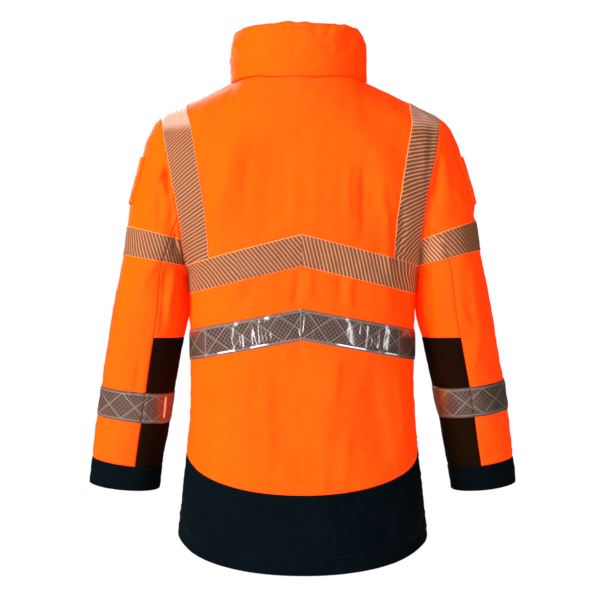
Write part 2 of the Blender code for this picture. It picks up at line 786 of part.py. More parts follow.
def collar_section(angle, side):
    """A closed loop round the collar's thickness, standing on the neck seam."""
    base = neck_point(angle)
    outward = Vector((base.x / NECK_HALF_WIDTH**2, base.y / NECK_HALF_DEPTH**2, 0)).normalized()
    height = collar_top_z(angle) - base.z - SEAM_GAP
    points = []
    for step in COLLAR_LOOP:
        point = base + outward * step.out
        point.z = base.z + SEAM_GAP + height * step.up - COLLAR_THICK / 2 * step.below_top
        points.append(Vector((side * max(point.x, ZIP_HALF * 0.5), point.y, point.z)))
    return points


def collar():
    """The stuffed stand collar, open at the centre front where the zip ends."""
    mesh = bmesh.new()
    angles = collar_angles()
    sections = [collar_section(angle, 1) for angle in angles]
    middle = collar_section(0, 1)
    for point in middle:
        point.x = 0.0
    sections += [middle] + [collar_section(angle, -1) for angle in reversed(angles)]
    for end in (sections[0], sections[-1]):
        for point in end:
            point.x = math.copysign(ZIP_HALF + SEAM_GAP / 2, point.x)
    rings = [[mesh.verts.new(point * METRE) for point in section] for section in sections]
    for first, second in zip(rings, rings[1:]):
        for i in range(len(first)):
            j = (i + 1) % len(first)
            mesh.faces.new((first[i], second[i], second[j], first[j]))
    mesh.faces.new(rings[0])
    mesh.faces.new(list(reversed(rings[-1])))
    bmesh.ops.recalc_face_normals(mesh, faces=mesh.faces[:])
    return finish(mesh, "collar", "orange")


def centre_front_line(side):
    """Points (y, z) of the outer face beside the zip, from the hem to near the collar's top."""
    points = [row[0] for row in body_grid(HEM_LEVELS[:-1], -1, side, False)]
    points += [row[0] for row in body_grid(BODY_LEVELS, -1, side, True)]
    points += collar_section(collar_angles()[0], 1)[:OUTER_COLLAR_STEPS]
    return [(point.y, point.z) for point in points]


def zip_tapes():
    inner, outer = ZIP_TEETH_HALF, ZIP_HALF - SEAM_GAP / 2
    for name, side in SIDES.items():
        mesh = bmesh.new()
        rings = []
        for y, z in centre_front_line(side):
            corners = ((inner, y), (outer, y), (outer, y + CLOTH), (inner, y + CLOTH))
            rings.append([mesh.verts.new(placed(Vector((x, depth, z)), side) * METRE) for x, depth in corners])
        for first, second in zip(rings, rings[1:]):
            for i in range(4):
                j = (i + 1) % 4
                mesh.faces.new((first[i], first[j], second[j], second[i]))
        mesh.faces.new(rings[0])
        mesh.faces.new(list(reversed(rings[-1])))
        bmesh.ops.recalc_face_normals(mesh, faces=mesh.faces[:])
        finish(mesh, f"zip_tape_{name}", "zip")


# ---------------------------------------------------------------- the zip's slider and pull tab

SLIDER = {"width": 9.0, "depth": 3.0, "height": 13.0}
EAR = {"thick": 1.2, "inside": 3.4, "reach": 4.6, "height": 4.4}
PIN_RADIUS = 0.8
PIN_CLEARANCE = 0.4  # between the eye that swings on the pin and the slider behind it
SLIDER_UP = 0.55  # how far up the last stretch of the zip the slider stands
EYE = {"outer": 2.0, "inner": 1.1, "half_width": 3.1}
PULL = {"width": 6.2, "thick": 1.4, "length": 30.0}


def slider_place():
    """The hinge pin's middle, in front of the collar's outer face near its top."""
    line = centre_front_line(1)
    (low_y, low_z), (high_y, high_z) = line[-2], line[-1]
    face = min(low_y, high_y)
    y = face - LIFT - SLIDER["depth"] - EYE["outer"] - PIN_CLEARANCE
    return Vector((0.0, y, lerp(low_z, high_z, SLIDER_UP)))


def box_mesh(mesh, low, high):
    size = [b - a for a, b in zip(low, high)]
    made = bmesh.ops.create_cube(mesh, size=1.0)["verts"]
    for vert in made:
        vert.co = Vector([(low[i] + (vert.co[i] + 0.5) * size[i]) * METRE for i in range(3)])


def rod_mesh(mesh, radius, half_length, centre):
    size = {"radius1": radius * METRE, "radius2": radius * METRE, "depth": 2 * half_length * METRE}
    made = bmesh.ops.create_cone(mesh, cap_ends=True, segments=16, **size)["verts"]
    for vert in made:
        vert.co = Vector((vert.co.z, vert.co.y, -vert.co.x)) + centre * METRE


def joined(name, slot, shapes, cutter=None):
    """Overlapping shapes made one solid by Boolean unions, with an optional cut at the end."""
    whole = None
    for number, shape in enumerate(shapes + ([cutter] if cutter else [])):
        mesh = bmesh.new()
        shape(mesh)
        piece = finish(mesh, name if number == 0 else f"{name}_tool_{number}", slot)
        if number == 0:
            whole = piece
            continue
        piece.hide_render = True
        piece.display_type = "WIRE"
        modifier = whole.modifiers.new(f"join {number}", "BOOLEAN")
        modifier.operation = "DIFFERENCE" if cutter and number == len(shapes) else "UNION"
        modifier.solver = "EXACT"
        modifier.object = piece
    return whole


def zip_slider():
    pin = slider_place()
    front = pin.y + EYE["outer"] + PIN_CLEARANCE
    half = SLIDER["width"] / 2

    def base(mesh):
        low = (-half, front, pin.z - SLIDER["height"] / 2)
        box_mesh(mesh, low, (half, front + SLIDER["depth"], pin.z + SLIDER["height"] / 2))

    def ear(side):
        def shape(mesh):
            inside, outside = side * EAR["inside"], side * (EAR["inside"] + EAR["thick"])
            low = (min(inside, outside), pin.y - EYE["outer"], pin.z - EAR["height"] / 2)
            high = (max(inside, outside), front + 1.0, pin.z + EAR["height"] / 2)
            box_mesh(mesh, low, high)

        return shape

    def rod(mesh):
        rod_mesh(mesh, PIN_RADIUS, EAR["inside"] + EAR["thick"] / 2, pin)

    joined("zip_slider", "metal", [base, ear(1), ear(-1), rod])


def zip_pull():
    pin = slider_place()

    def eye(mesh):
        rod_mesh(mesh, EYE["outer"], EYE["half_width"], pin)

    def tab(mesh):
        half = PULL["width"] / 2
        low = (-half, pin.y - PULL["thick"] / 2, pin.z - PULL["length"])
        box_mesh(mesh, low, (half, pin.y + PULL["thick"] / 2, pin.z - EYE["inner"] - PIN_CLEARANCE))

    def hole(mesh):
        rod_mesh(mesh, EYE["inner"], EYE["half_width"] + 2, pin)

    joined("zip_pull", "metal", [eye, tab], hole)


# ---------------------------------------------------------------- the whole jacket


def main():
    for old in list(bpy.data.objects):
        bpy.data.objects.remove(old, do_unlink=True)
    Cloth.shared.clear()
    panels, tapes = body_panels()
    patches = []
    for name, side in SIDES.items():
        sleeve, sleeve_tapes, patch = sleeve_pieces(name, side)
        panels += sleeve
        tapes += sleeve_tapes
        patches.append(patch)
    for panel in panels:
        panel.share_normals()
    Cloth.turn_armhole_normals()
    for panel in panels:
        panel.build(-CLOTH, 0.0)
    for tape in tapes:
        tape.build(LIFT, LIFT + TAPE_THICK)
    for patch in patches:
        patch.build(LIFT, LIFT + PATCH_THICK)
    collar()
    zip_tapes()
    zip_slider()
    zip_pull()


main()
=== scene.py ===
"""Hi-vis work jacket: the cloth, reflective tapes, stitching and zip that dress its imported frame.

Sizes are millimetres until a mesh is made, and metres after that. The back faces +Y and the wearer's left
is +X. A panel is a grid of points over two indices. On the trunk "row" counts up from the hem seam and
"column" counts out from the centre line. On a sleeve "row" counts down from the shoulder tip and "column"
runs round the arm.
"""

import functools
import math

import bmesh
import bpy
import numpy as np
from mathutils import Matrix, Vector


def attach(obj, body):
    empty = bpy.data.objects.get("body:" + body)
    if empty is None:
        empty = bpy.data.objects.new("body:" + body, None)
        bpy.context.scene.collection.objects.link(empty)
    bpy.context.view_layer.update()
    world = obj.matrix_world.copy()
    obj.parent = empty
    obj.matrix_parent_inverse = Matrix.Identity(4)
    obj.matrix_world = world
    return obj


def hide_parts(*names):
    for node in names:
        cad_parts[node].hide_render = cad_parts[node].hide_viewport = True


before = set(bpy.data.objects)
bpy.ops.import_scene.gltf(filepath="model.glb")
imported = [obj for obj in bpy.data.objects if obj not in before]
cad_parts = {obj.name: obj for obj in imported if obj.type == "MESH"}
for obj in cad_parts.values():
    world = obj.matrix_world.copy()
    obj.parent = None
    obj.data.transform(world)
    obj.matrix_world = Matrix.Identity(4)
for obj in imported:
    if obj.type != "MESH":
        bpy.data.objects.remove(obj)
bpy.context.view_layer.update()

bl_info = {
    "name": "Hi-vis work jacket",
    "version": (1, 0, 0),
    "blender": (4, 5, 0),
    "location": "View3D > Sidebar > Jacket",
    "description": "Dresses the frame of a hi-vis work jacket in cloth, tape, stitching and a zip",
    "category": "Object",
}

METRE = 0.001
GARMENT = "garment"
SIDES = {"left": 1, "right": -1}
PLACES = {"back": 1, "front": -1}

# ---------------------------------------------------------------- the cut, as the frame has it

TAPE_WIDTH = 50.0
NECK_HALF_WIDTH, NECK_HALF_DEPTH = 112.5, 86.0
SHOULDER_TIP = (231.0, -57.0)
ARMPIT = (191.0, -322.0)
ARMHOLE_MID_Z = (SHOULDER_TIP[1] + ARMPIT[1]) / 2
ARMHOLE_HALF_HEIGHT = (SHOULDER_TIP[1] - ARMPIT[1]) / 2
ARMHOLE_HALF_DEPTH = 75.0
BODY_POWER = 2.4
CENTRE_EASE = 20.0  # the ridge between the shoulders is rounded over this much of the centre
ZIP_HALF = 6.0
SEAM_GAP = 0.34
TAPE_LIFT = 0.3
COLLAR_THICK = 13.0
COLLAR_TOP = {"back": 90.0, "side": 80.0, "front": 44.0}
# Round the collar's thickness: part of its height, half thicknesses below the top, and distance out from
# the seam.
COLLAR_LOOP = (
    (0.0, 0.0, 1.0),
    (0.06, 0.0, 1.8),
    (0.3, 0.0, 2.0),
    (0.6, 0.0, 1.2),
    (1.0, 1.0, -1.0),
    (1.0, 0.3, -3.0),
    (1.0, 0.0, -7.5),
    (1.0, 0.3, -12.0),
    (1.0, 1.0, -1.0 - COLLAR_THICK),
    (0.5, 0.0, -12.0),
    (0.2, 0.0, -10.0),
    (0.0, 0.0, -4.0),
)
COLLAR_LOOP_STEPS = (2, 8, 10, 12, 4, 3, 3, 4, 10, 6, 4, 2)
OUTER_COLLAR_STEPS = 5
COLLAR_STITCH_ROW = 11

# Trunk rows: height at the centre back, at the side and at the centre front, and how straight the row runs.
# They are the hem seam, the skirt, the waist, the low tape's two edges, the chest, the high tape's lower
# edge and the armpit. The hem band has rows of its own.
LEVELS = {
    "centre": (-670, -592, -508, -427, -377, -343, -309.5, -278),
    "side": (-611, -560, -510, -462, -412, -383, -354, -322),
    "straight": (0.0, 0.3, 0.7, 1, 1, 1, 1, 1),
    "front": (-642, -580, -520, -462, -412, -383, -354, -322),
}
HEM_LEVELS = {
    "centre": (-793, -732, -670),
    "side": (-743, -677, -611),
    "straight": (0.0, 0.0, 0.0),
    "front": (-750, -696, -642),
}
HIGH_TAPE_TOP = {"back": -258.5, "front": -304.0}
ARMPIT_ROW, HIGH_TAPE_TOP_ROW, TOP_ROW = 7, 8, 16
LOW_TAPE_ROWS = (3, 4)
HIGH_TAPE_ROWS = (6, HIGH_TAPE_TOP_ROW)
ARMHOLE_ANGLES = (180, 152, 124, 108, 95, 80, 60, 42, 22, 0)  # one a row, from the armpit row up
BODY_ROW_STEPS = (22, 24, 22, 15, 10, 9, 11, 6, 13, 9, 9, 10, 13, 11, 13, 13)
HEM_ROW_STEPS = (20, 20)
NECK_STEPS, RIDGE_STEPS, STRIP_STEPS = 6, 2, 3
STRIP_COLUMN, LAST_COLUMN = NECK_STEPS + RIDGE_STEPS, NECK_STEPS + RIDGE_STEPS + STRIP_STEPS
BODY_COLUMN_STEPS = (5, 5, 5, 5, 5, 5, 6, 6, 13, 13, 13)
NECK_COLUMN_ANGLE, STRIP_COLUMN_ANGLE = 28.0, 48.0
NECK_COLUMN_X, STRIP_COLUMN_X = 105.0, 149.0
STRIP_RIDGE_X = 185.0

# Sleeve rows, from the shoulder tip down to the end of the cuff.
SLEEVE_ROW = {
    name: row
    for row, name in enumerate(
        "tip top head patch_top patch_mid patch_bottom seam_start tape_top tape_bottom armpit "
        "arm_1 arm_2 arm_3 panel_top elbow low_tape_top low_tape_bottom forearm "
        "cuff_seam cuff_mid cuff_end".split()
    )
}
SLEEVE_OUTER_X = (231, 242.5, 256, 267.5, 277.5, 286, 288.5, 291.5, 299, 302.5)
SLEEVE_OUTER_X += (307, 312.5, 318.5, 324.5, 331, 337.5, 345, 351, 356, 358.8, 361.5)
SLEEVE_OUTER_Z = (-57, -67, -91, -124, -166, -204, -221, -235, -284, -301)
SLEEVE_OUTER_Z += (-326, -356, -387, -419, -458, -500, -549, -591, -626, -648, -669)
SLEEVE_INNER_X = (191, 192, 192, 194.5, 200, 208.5, 218, 227.5, 235, 241.5, 244, 246.5)
SLEEVE_INNER_Z = (-322, -345, -372, -399, -425, -466, -513, -563, -605, -642, -662, -681)
SLEEVE_BACK = (75, 75, 74, 72, 69, 65, 60, 55, 51, 48, 47, 46)
SLEEVE_FRONT = (89.5, 88, 84, 79, 74, 68, 61, 55, 50, 47, 46, 45)
SLEEVE_LEAN = (0, 0, -1, -3, -5, -8, -12, -16, -20, -23, -24, -25)
SLEEVE_END = (0, 22, 42, 60, 80, 95, 108, 124, 152, 180)
SLEEVE_SEAM_BACK = {1: 108.0, -1: 94.0}
SLEEVE_SEAM_FRONT = 125.0
SLEEVE_INNER_SHIFT = {1: -4.0, -1: 4.0}
SLEEVE_TAPE_SHIFT = {1: -4.5, -1: 4.5}
SLEEVE_PATCH_SHIFT = {1: 0.0, -1: 4.0}
SLEEVE_TILT = 0.09
SLEEVE_ROW_STEPS = (8, 9, 11, 13, 12, 5, 5, 16, 8, 8, 9, 10, 10, 12, 13, 16, 13, 11, 8, 8)
PATCH_ANGLE = 27.0
PATCH_STEPS, TOP_STEPS, UNDER_STEPS = 9, 26, 24

# Soft folds of the frame's own cloth: x and z at the top, x and z below, half width, height.
BACK_FOLDS = (
    (96, -105, 104, -235, 26, 5.0),
    (60, -120, 62, -250, 24, -3.0),
    (-128, -115, -150, -240, 24, 4.5),
    (-100, -130, -118, -245, 22, -3.5),
    (70, -470, 82, -640, 34, 3.5),
    (-40, -450, -52, -620, 30, 3.0),
    (-118, -480, -122, -650, 30, -3.0),
    (14, -440, 10, -600, 26, -2.5),
)
FRONT_FOLDS = (
    (95, -120, 120, -270, 30, 4.0),
    (-100, -130, -124, -275, 28, 4.5),
    (80, -480, 92, -640, 32, 3.5),
    (-70, -470, -84, -630, 34, 3.0),
)

# Creases pressed into the cloth, on what faces back: x and z of both ends, how far the line bows, half
# width and height.
CREASES = (
    (76, -124, 89, -248, 4, 13, -1.6),
    (97, -108, 131, -258, 6, 14, 6.4),
    (216, -136, 208, -200, 1, 4.5, -11),
    (230, -150, 214, -215, 2, 8, 3.0),
    (207, -192, 196, -292, 1, 6, -4.2),
    (-229, -125, -216, -200, -2, 5, -5.5),
    (-216, -192, -206, -290, -1, 6, -3.6),
    (103, -38, 106, -108, 0, 16, 1.2),
    (27, -88, 24, -251, -2, 16, -1.8),
    (-21, -59, -31, -251, 0, 22, 1.4),
    (-80, -139, -82, -248, 2, 7, 1.8),
    (-100, -147, -101, -270, -3, 8, -2.4),
    (-134, -147, -156, -357, 3, 7, 2.6),
    (-119, -179, -116, -227, 0, 5, -1.6),
    (-169, -203, -159, -302, -3, 8, -2.0),
    (-2, -318, 9, -373, 2, 5, -2.6),
    (-18, -318, -12, -363, -2, 7, 2.0),
    (84, -318, 122, -373, -3, 7, 2.4),
    (58, -325, 87, -369, 2, 6, -1.4),
    (122, -331, 157, -363, 3, 8, 1.6),
    (-88, -325, -82, -376, 2, 7, 2.2),
    (-66, -325, -63, -369, -2, 6, -1.6),
    (-130, -334, -149, -373, -2, 7, 1.6),
    (1, -433, 1, -462, 0, 5, -1.6),
    (11, -440, 23, -468, 2, 5, 1.2),
    (-10, -440, -21, -465, -2, 5, 1.0),
    (78, -446, 90, -628, 6, 20, 2.8),
    (43, -459, 30, -634, -3, 16, -1.8),
    (-63, -446, -59, -542, 2, 9, 1.8),
    (-31, -491, -37, -634, 0, 16, 1.0),
    (-123, -478, -149, -647, 4, 16, -2.6),
    (-161, -468, -168, -602, -2, 12, 1.6),
    (-82, -570, -72, -659, 0, 8, 1.4),
    (149, -478, 154, -634, 2, 13, -1.8),
    (94, -621, 100, -659, 0, 5, 1.2),
    (-37, -621, -40, -672, 0, 5, 1.4),
    (-2, -605, -5, -666, 0, 8, -0.9),
    (165, -655, 174, -753, 3, 9, 2.0),
    (136, -678, 146, -772, -2, 12, -1.4),
    (-166, -665, -184, -750, -3, 9, 2.2),
    (-140, -681, -147, -772, 2, 12, -1.6),
    (58, -678, 64, -791, 3, 18, 1.4),
    (-52, -678, -59, -794, -2, 20, 1.2),
    (214, -134, 230, -252, 3, 7, -3.2),
    (240, -117, 250, -242, 2, 12, 1.8),
    (211, -301, 240, -363, -3, 5, -2.2),
    (224, -294, 257, -350, 3, 8, 1.8),
    (202, -300, 212, -412, 4, 5, 3.2),
    (218, -310, 225, -419, -2, 4, -2.6),
    (189, -314, 192, -419, 0, 5, -2.6),
    (276, -301, 289, -494, 4, 16, 1.6),
    (257, -455, 270, -521, 2, 5, -1.8),
    (264, -567, 281, -636, -3, 6, -1.8),
    (306, -363, 320, -481, 2, 9, -1.4),
    (301, -571, 308, -630, 0, 8, 1.2),
    (-214, -82, -205, -242, -4, 10, -3.0),
    (-241, -118, -250, -223, 3, 12, 2.0),
    (-251, -180, -280, -235, -3, 6, 1.8),
    (-225, -310, -232, -416, 2, 6, 2.6),
    (-209, -310, -213, -419, -2, 5, -2.2),
    (-251, -311, -261, -415, 0, 5, -1.4),
    (-278, -301, -294, -438, -2, 9, 1.6),
    (-304, -412, -288, -481, 3, 7, 1.8),
    (-314, -445, -324, -491, -2, 8, -1.2),
    (-295, -574, -308, -629, 3, 8, 1.4),
    (-268, -363, -288, -412, -2, 6, -1.4),
)
# The same on the collar, where the filling is quilted and its top puckers.
COLLAR_CREASES = (
    (-2, 27, 56, 26.5, 0, 4, -2.4),
    (50, 26.5, 92, 15, 1, 4, -2.2),
    (6, 72, 7, 22, 0, 2.5, -0.7),
    (27, 94, 22, 66, 0, 4, -2.0),
    (-30, 94, -26, 62, 0, 5, -1.8),
    (-54, 92, -47, 62, 0, 4, -1.6),
    (70, 92, 66, 70, 0, 5, -1.2),
    (-58, 84, -64, 30, 4, 9, 1.4),
    (-84, 80, -86, 20, 0, 7, -1.4),
    (112, 62, 88, 44, 0, 5, -1.6),
    (-112, 50, -92, 40, 0, 5, -1.4),
    (108, 22, 88, 30, 0, 6, 1.0),
)
# Flat facets where the glossy tape's stiff film buckles: distance along it from the centre line, or on the
# left sleeve from the outer line, half width, slope outwards, and the heights on the tape where each begins
# and ends.
GLOSSY_FACETS = (
    (-123, 3.0, 0.1, 6, 30),
    (-108, 3.0, 0.03, 14, 26),
    (-98, 2.6, -0.03, 26, 46),
    (-93, 2.6, 0.13, 5, 26),
    (-75, 3.6, 0.056, 8, 44),
    (-66, 3.2, 0.026, 5, 42),
    (-57, 3.0, -0.09, 0, 50),
    (-48, 2.6, -0.036, 5, 24),
    (-3, 2.2, -0.172, 2, 40),
    (13.5, 3.0, 0.18, 8, 25),
    (62, 3.0, 0.03, 20, 34),
    (89, 2.4, 0.063, 26, 44),
    (101, 3.8, 0.129, 5, 44),
    (113, 2.4, 0.194, 8, 26),
    (120, 2.8, -0.103, 6, 44),
    (137, 4.6, 0.033, 5, 46),
)
# The mesh of crossing welds on the glossy tape repeats at this length. One half of the trunk's tape starts
# part way in, and the sleeves' outer lines lie whole repeats from the start.
WELD_PERIOD = 42.5
HALF_WELD_START = 12.5
SLEEVE_WELD_START = 20 * WELD_PERIOD
END_WELD = 157.0  # a weld across the tape, this far out from the centre line
ARM_TAPE_X = SHOULDER_TIP[0] - 26  # beyond this distance from the centre, the glossy tape is a sleeve's
GLOSSY_BORDER, WELD_WIDTH = 4.0, 1.15
DOT_PITCH, DOT_ROW_PITCH = 7.0, 4.0
FILM_LIFT, FILM_EDGE = 0.7, 9.0  # how far the film stands off, and the width it takes to rise to that
SEEN_SPREAD = 0.72  # how far a pattern is drawn out where its tape turns away, see tape_uv
TAPE_SLOTS = {"striped": "striped_tape", "glossy": "prismatic_tape"}
STITCH_SLOTS = {"orange": "orange_shell", "navy": "navy_shell", "grey": "prismatic_tape"}

# Where a hanging sleeve and the trunk press together, both swell to meet. Each pair of heights is where the
# swell fades out and where it is full.
TOUCH_BOTTOM, TOUCH_TOP = (-408, -388), (-316, -332)
TOUCH_HALF_X, TOUCH_SWELL = 235, 2.0

# The collar's filling sags by this much near its top.
COLLAR_SAG = 2.8
PATCH_RISE, PATCH_STITCH_INSET = 2.9, 4.5
NAVY_THREAD, GREY_THREAD = (0.0025, 0.005, 0.0075), (0.3, 0.26, 0.23)
ZIP_CLOTH = (0.012, 0.012, 0.014)
TOOTH_SIZE, TOOTH_X = (4.2, 2.0, 1.7), 1.9
# Painted glow: the orange cloth and its thread shine red by themselves, which lifts their shade though they
# are no lamp.
SHELL_PAINTED_GLOW, THREAD_PAINTED_GLOW = (0.9, 0.012, 0.0), (0.9, 0.02, 0.0)
SEAMS = {
    "body": ("first_row", "first_column", "last_column"),
    "hem": ("last_row", "first_column", "last_column"),
}

# ---------------------------------------------------------------- curves and surfaces


def mix(first, second, amount):
    return first + (second - first) * amount


def smooth(low, high, value):
    """0 at "low" and 1 at "high", easing in and out, whichever of the two is the larger."""
    t = np.clip((value - low) / (high - low), 0.0, 1.0)
    return t * t * (3 - 2 * t)


def cubic(first, last, start, end, t):
    """From "first" to "last" as t goes from 0 to 1, with the slopes "start" and "end" there."""
    rise = last - first
    bend = start + end - 2 * rise
    return first + t * (start + t * (3 * rise - 2 * start - end + t * bend))


class Curve:
    """A cubic through a table's points that never overshoots them."""

    def __init__(self, keys, values):
        self.keys, self.values = np.array(keys, float), np.array(values, float)
        slopes = np.diff(self.values) / np.diff(self.keys)
        before, after = slopes[:-1], slopes[1:]
        same = before * after > 0
        inner = np.where(same, 2 * before * after / np.where(same, before + after, 1.0), 0.0)
        self.tangents = np.concatenate([slopes[:1], inner, slopes[-1:]])

    def __call__(self, at):
        at = np.clip(at, self.keys[0], self.keys[-1])
        i = np.clip(np.searchsorted(self.keys, at, side="right") - 1, 0, len(self.keys) - 2)
        span = self.keys[i + 1] - self.keys[i]
        t = (at - self.keys[i]) / span
        start, end = self.tangents[i] * span, self.tangents[i + 1] * span
        return cubic(self.values[i], self.values[i + 1], start, end, t)


TRUNK_Z = (-860, -793, -749, -699, -665, -598, -531, -481, -430, -380)
TRUNK_Z += (-345, -322, -258, -200, -150, -100, -50, 0, 60)
TRUNK_WIDTH = (219, 213, 208, 202, 198.5, 191.5, 187.5, 186, 186.5, 187)
TRUNK_WIDTH += (188, 191, 197, 205, 210, 210, 210, 210, 210)
TRUNK_BACK = (172, 161, 155, 149, 144, 131, 122, 119, 119, 120)
TRUNK_BACK += (121, 121.5, 122, 121.5, 119, 114, 111, 110, 109)
TRUNK_FRONT = (166, 160, 157, 152, 149, 144, 140, 140, 142, 145)
TRUNK_FRONT += (146, 146, 143, 135, 124, 108, 89, 80, 76)
trunk_width = Curve(TRUNK_Z, TRUNK_WIDTH)
trunk_depth = {1: Curve(TRUNK_Z, TRUNK_BACK), -1: Curve(TRUNK_Z, TRUNK_FRONT)}
ridge_z = Curve((0, 60, 90, 112.5, 150, 190, 231, 290), (50, 35, 17.5, -1, -18.5, -36.5, -57, -84))
armhole_x = Curve(
    (-322, -303, -270, -234, -190, -163, -115, -82, -57),
    (191, 193.6, 196, 200, 206.5, 212, 221.5, 228, 231),
)
sway = Curve((-800, -740, -400, -230, -80, -45, 95), (-8.0, -7.0, -5.8, -4.7, -3.9, 0.0, 0.0))


def placed(points, side):
    """Points of the +X half on their own side of the jacket, with its slight sway."""
    moved = points.copy()
    moved[..., 0] = side * points[..., 0] + sway(points[..., 2])
    return moved


def stack(x, y, z):
    return np.stack(np.broadcast_arrays(x, y, z), axis=-1)


def armhole_z(angle):
    return ARMHOLE_MID_Z + ARMHOLE_HALF_HEIGHT * np.cos(np.radians(angle))


def arch(x, z):
    """The share of the trunk's depth that is left at a point, as the shoulders close over it."""
    away = np.abs(x)
    away = np.where(away < CENTRE_EASE, (away**2 / CENTRE_EASE + CENTRE_EASE) / 2, away)
    drop = np.clip((ridge_z(away) - z) / ARMHOLE_HALF_HEIGHT, 0.0, 1.0)
    return np.sqrt(drop * (2 - drop))


def half_width(z):
    high = np.minimum(z, armhole_z(12))
    sine = np.sqrt(np.maximum(0.0, 1 - ((high - ARMHOLE_MID_Z) / ARMHOLE_HALF_HEIGHT) ** 2))
    x = armhole_x(high)
    part = ARMHOLE_HALF_DEPTH * sine / (trunk_depth[1](high) * arch(x, high))
    return np.where(z <= ARMPIT[1], trunk_width(z), x / (1 - part**BODY_POWER) ** (1 / BODY_POWER))


def fold_height(folds, x, z):
    """The height of a table of the frame's own soft folds."""
    total = 0.0
    for x_top, z_top, x_low, z_low, half, height in folds:
        down = np.clip((z_top - z) / (z_top - z_low), -0.4, 1.4)
        across = (x - mix(x_top, x_low, down)) / half
        ends = np.maximum(0.0, np.sin(np.pi * (down + 0.4) / 1.8))
        total = total + height * ends * ends * np.exp(-across * across)
    return total


def body_y(x, z, facing, folded=0):
    """How far back (facing 1) or forward (facing -1) the trunk's cloth lies."""
    part = np.clip(np.abs(x) / half_width(z), 0.0, 1.0) ** BODY_POWER
    reach = trunk_depth[facing](z) * (1 - part) ** (1 / BODY_POWER) * arch(x, z)
    if folded:
        folds = BACK_FOLDS if facing > 0 else FRONT_FOLDS
        reach = reach + (1 - part) * arch(x, z) * fold_height(folds, folded * x, z)
    return facing * reach


def armhole_point(angle, facing):
    z = armhole_z(angle)
    x = armhole_x(z)
    if facing > 0:
        return stack(x, ARMHOLE_HALF_DEPTH * np.sin(np.radians(angle)), z)
    inside = (np.asarray(angle) > 0) & (np.asarray(angle) < 180)
    return stack(x, np.where(inside, body_y(x, z, -1), 0.0), z)


def neck_point(angle):
    """On the collar seam: 0 at the centre back, 90 at the shoulder, 180 at the centre front."""
    turn = np.radians(np.asarray(angle, float))
    x, y = NECK_HALF_WIDTH * np.sin(turn), NECK_HALF_DEPTH * np.cos(turn)
    low, high = np.full_like(x, -120.0), ridge_z(x)
    for _ in range(40):
        middle = (low + high) / 2
        depth = np.where(y > 0, np.abs(body_y(x, middle, 1)), np.abs(body_y(x, middle, -1)))
        below = depth > np.abs(y)
        low, high = np.where(below, middle, low), np.where(below, high, middle)
    return stack(x, y, np.where(np.abs(turn - math.pi / 2) < 1e-3, ridge_z(x), low))


def zoned(columns, neck, ridge, strip):
    """One value for each column, from a function of how far the column is through its own zone."""
    zones = ((neck, 0, NECK_STEPS), (ridge, NECK_STEPS, RIDGE_STEPS), (strip, STRIP_COLUMN, STRIP_STEPS))
    values = [zone(np.clip((columns - start) / steps, 0.0, 1.0)) for zone, start, steps in zones]
    beyond_neck = np.where(columns < STRIP_COLUMN, values[1], values[2])
    return np.where(columns < NECK_STEPS, values[0], beyond_neck)


def section_points(rows, columns, levels, facing, side):
    """Points on the rows of a table of levels, at the columns between centre line and side seam."""
    count = np.arange(len(levels["side"]))
    centre = np.interp(rows, count, levels["centre" if facing > 0 else "front"])[:, None]
    edge = np.interp(rows, count, levels["side"])[:, None]
    straight = np.interp(rows, count, levels["straight"])[:, None] if facing > 0 else 0.6
    start_x = 0.0 if facing > 0 else ZIP_HALF
    width = half_width(edge)
    start = np.degrees(np.arcsin((start_x / width) ** (BODY_POWER / 2)))
    angle = zoned(
        columns[None, :] + 0 * width,
        lambda part: mix(start, NECK_COLUMN_ANGLE, part),
        lambda part: mix(NECK_COLUMN_ANGLE, STRIP_COLUMN_ANGLE, part),
        lambda part: mix(STRIP_COLUMN_ANGLE, 90.0, part),
    )
    turn = np.radians(angle)
    z = edge + 0 * turn
    for _ in range(24):
        x = half_width(z) * np.sin(turn) ** (2 / BODY_POWER)
        across = np.clip(x / width, 0.0, 1.0)
        rounded = 1 - np.sqrt(1 - across * across)
        z = mix(z, mix(centre, edge, mix(rounded, across, straight)), 0.7)
    last = angle >= 89.999
    x, z = np.where(last, width, x), np.where(last, edge, z)
    return stack(x, np.where(last, 0.0, body_y(x, z, facing, side)), z)


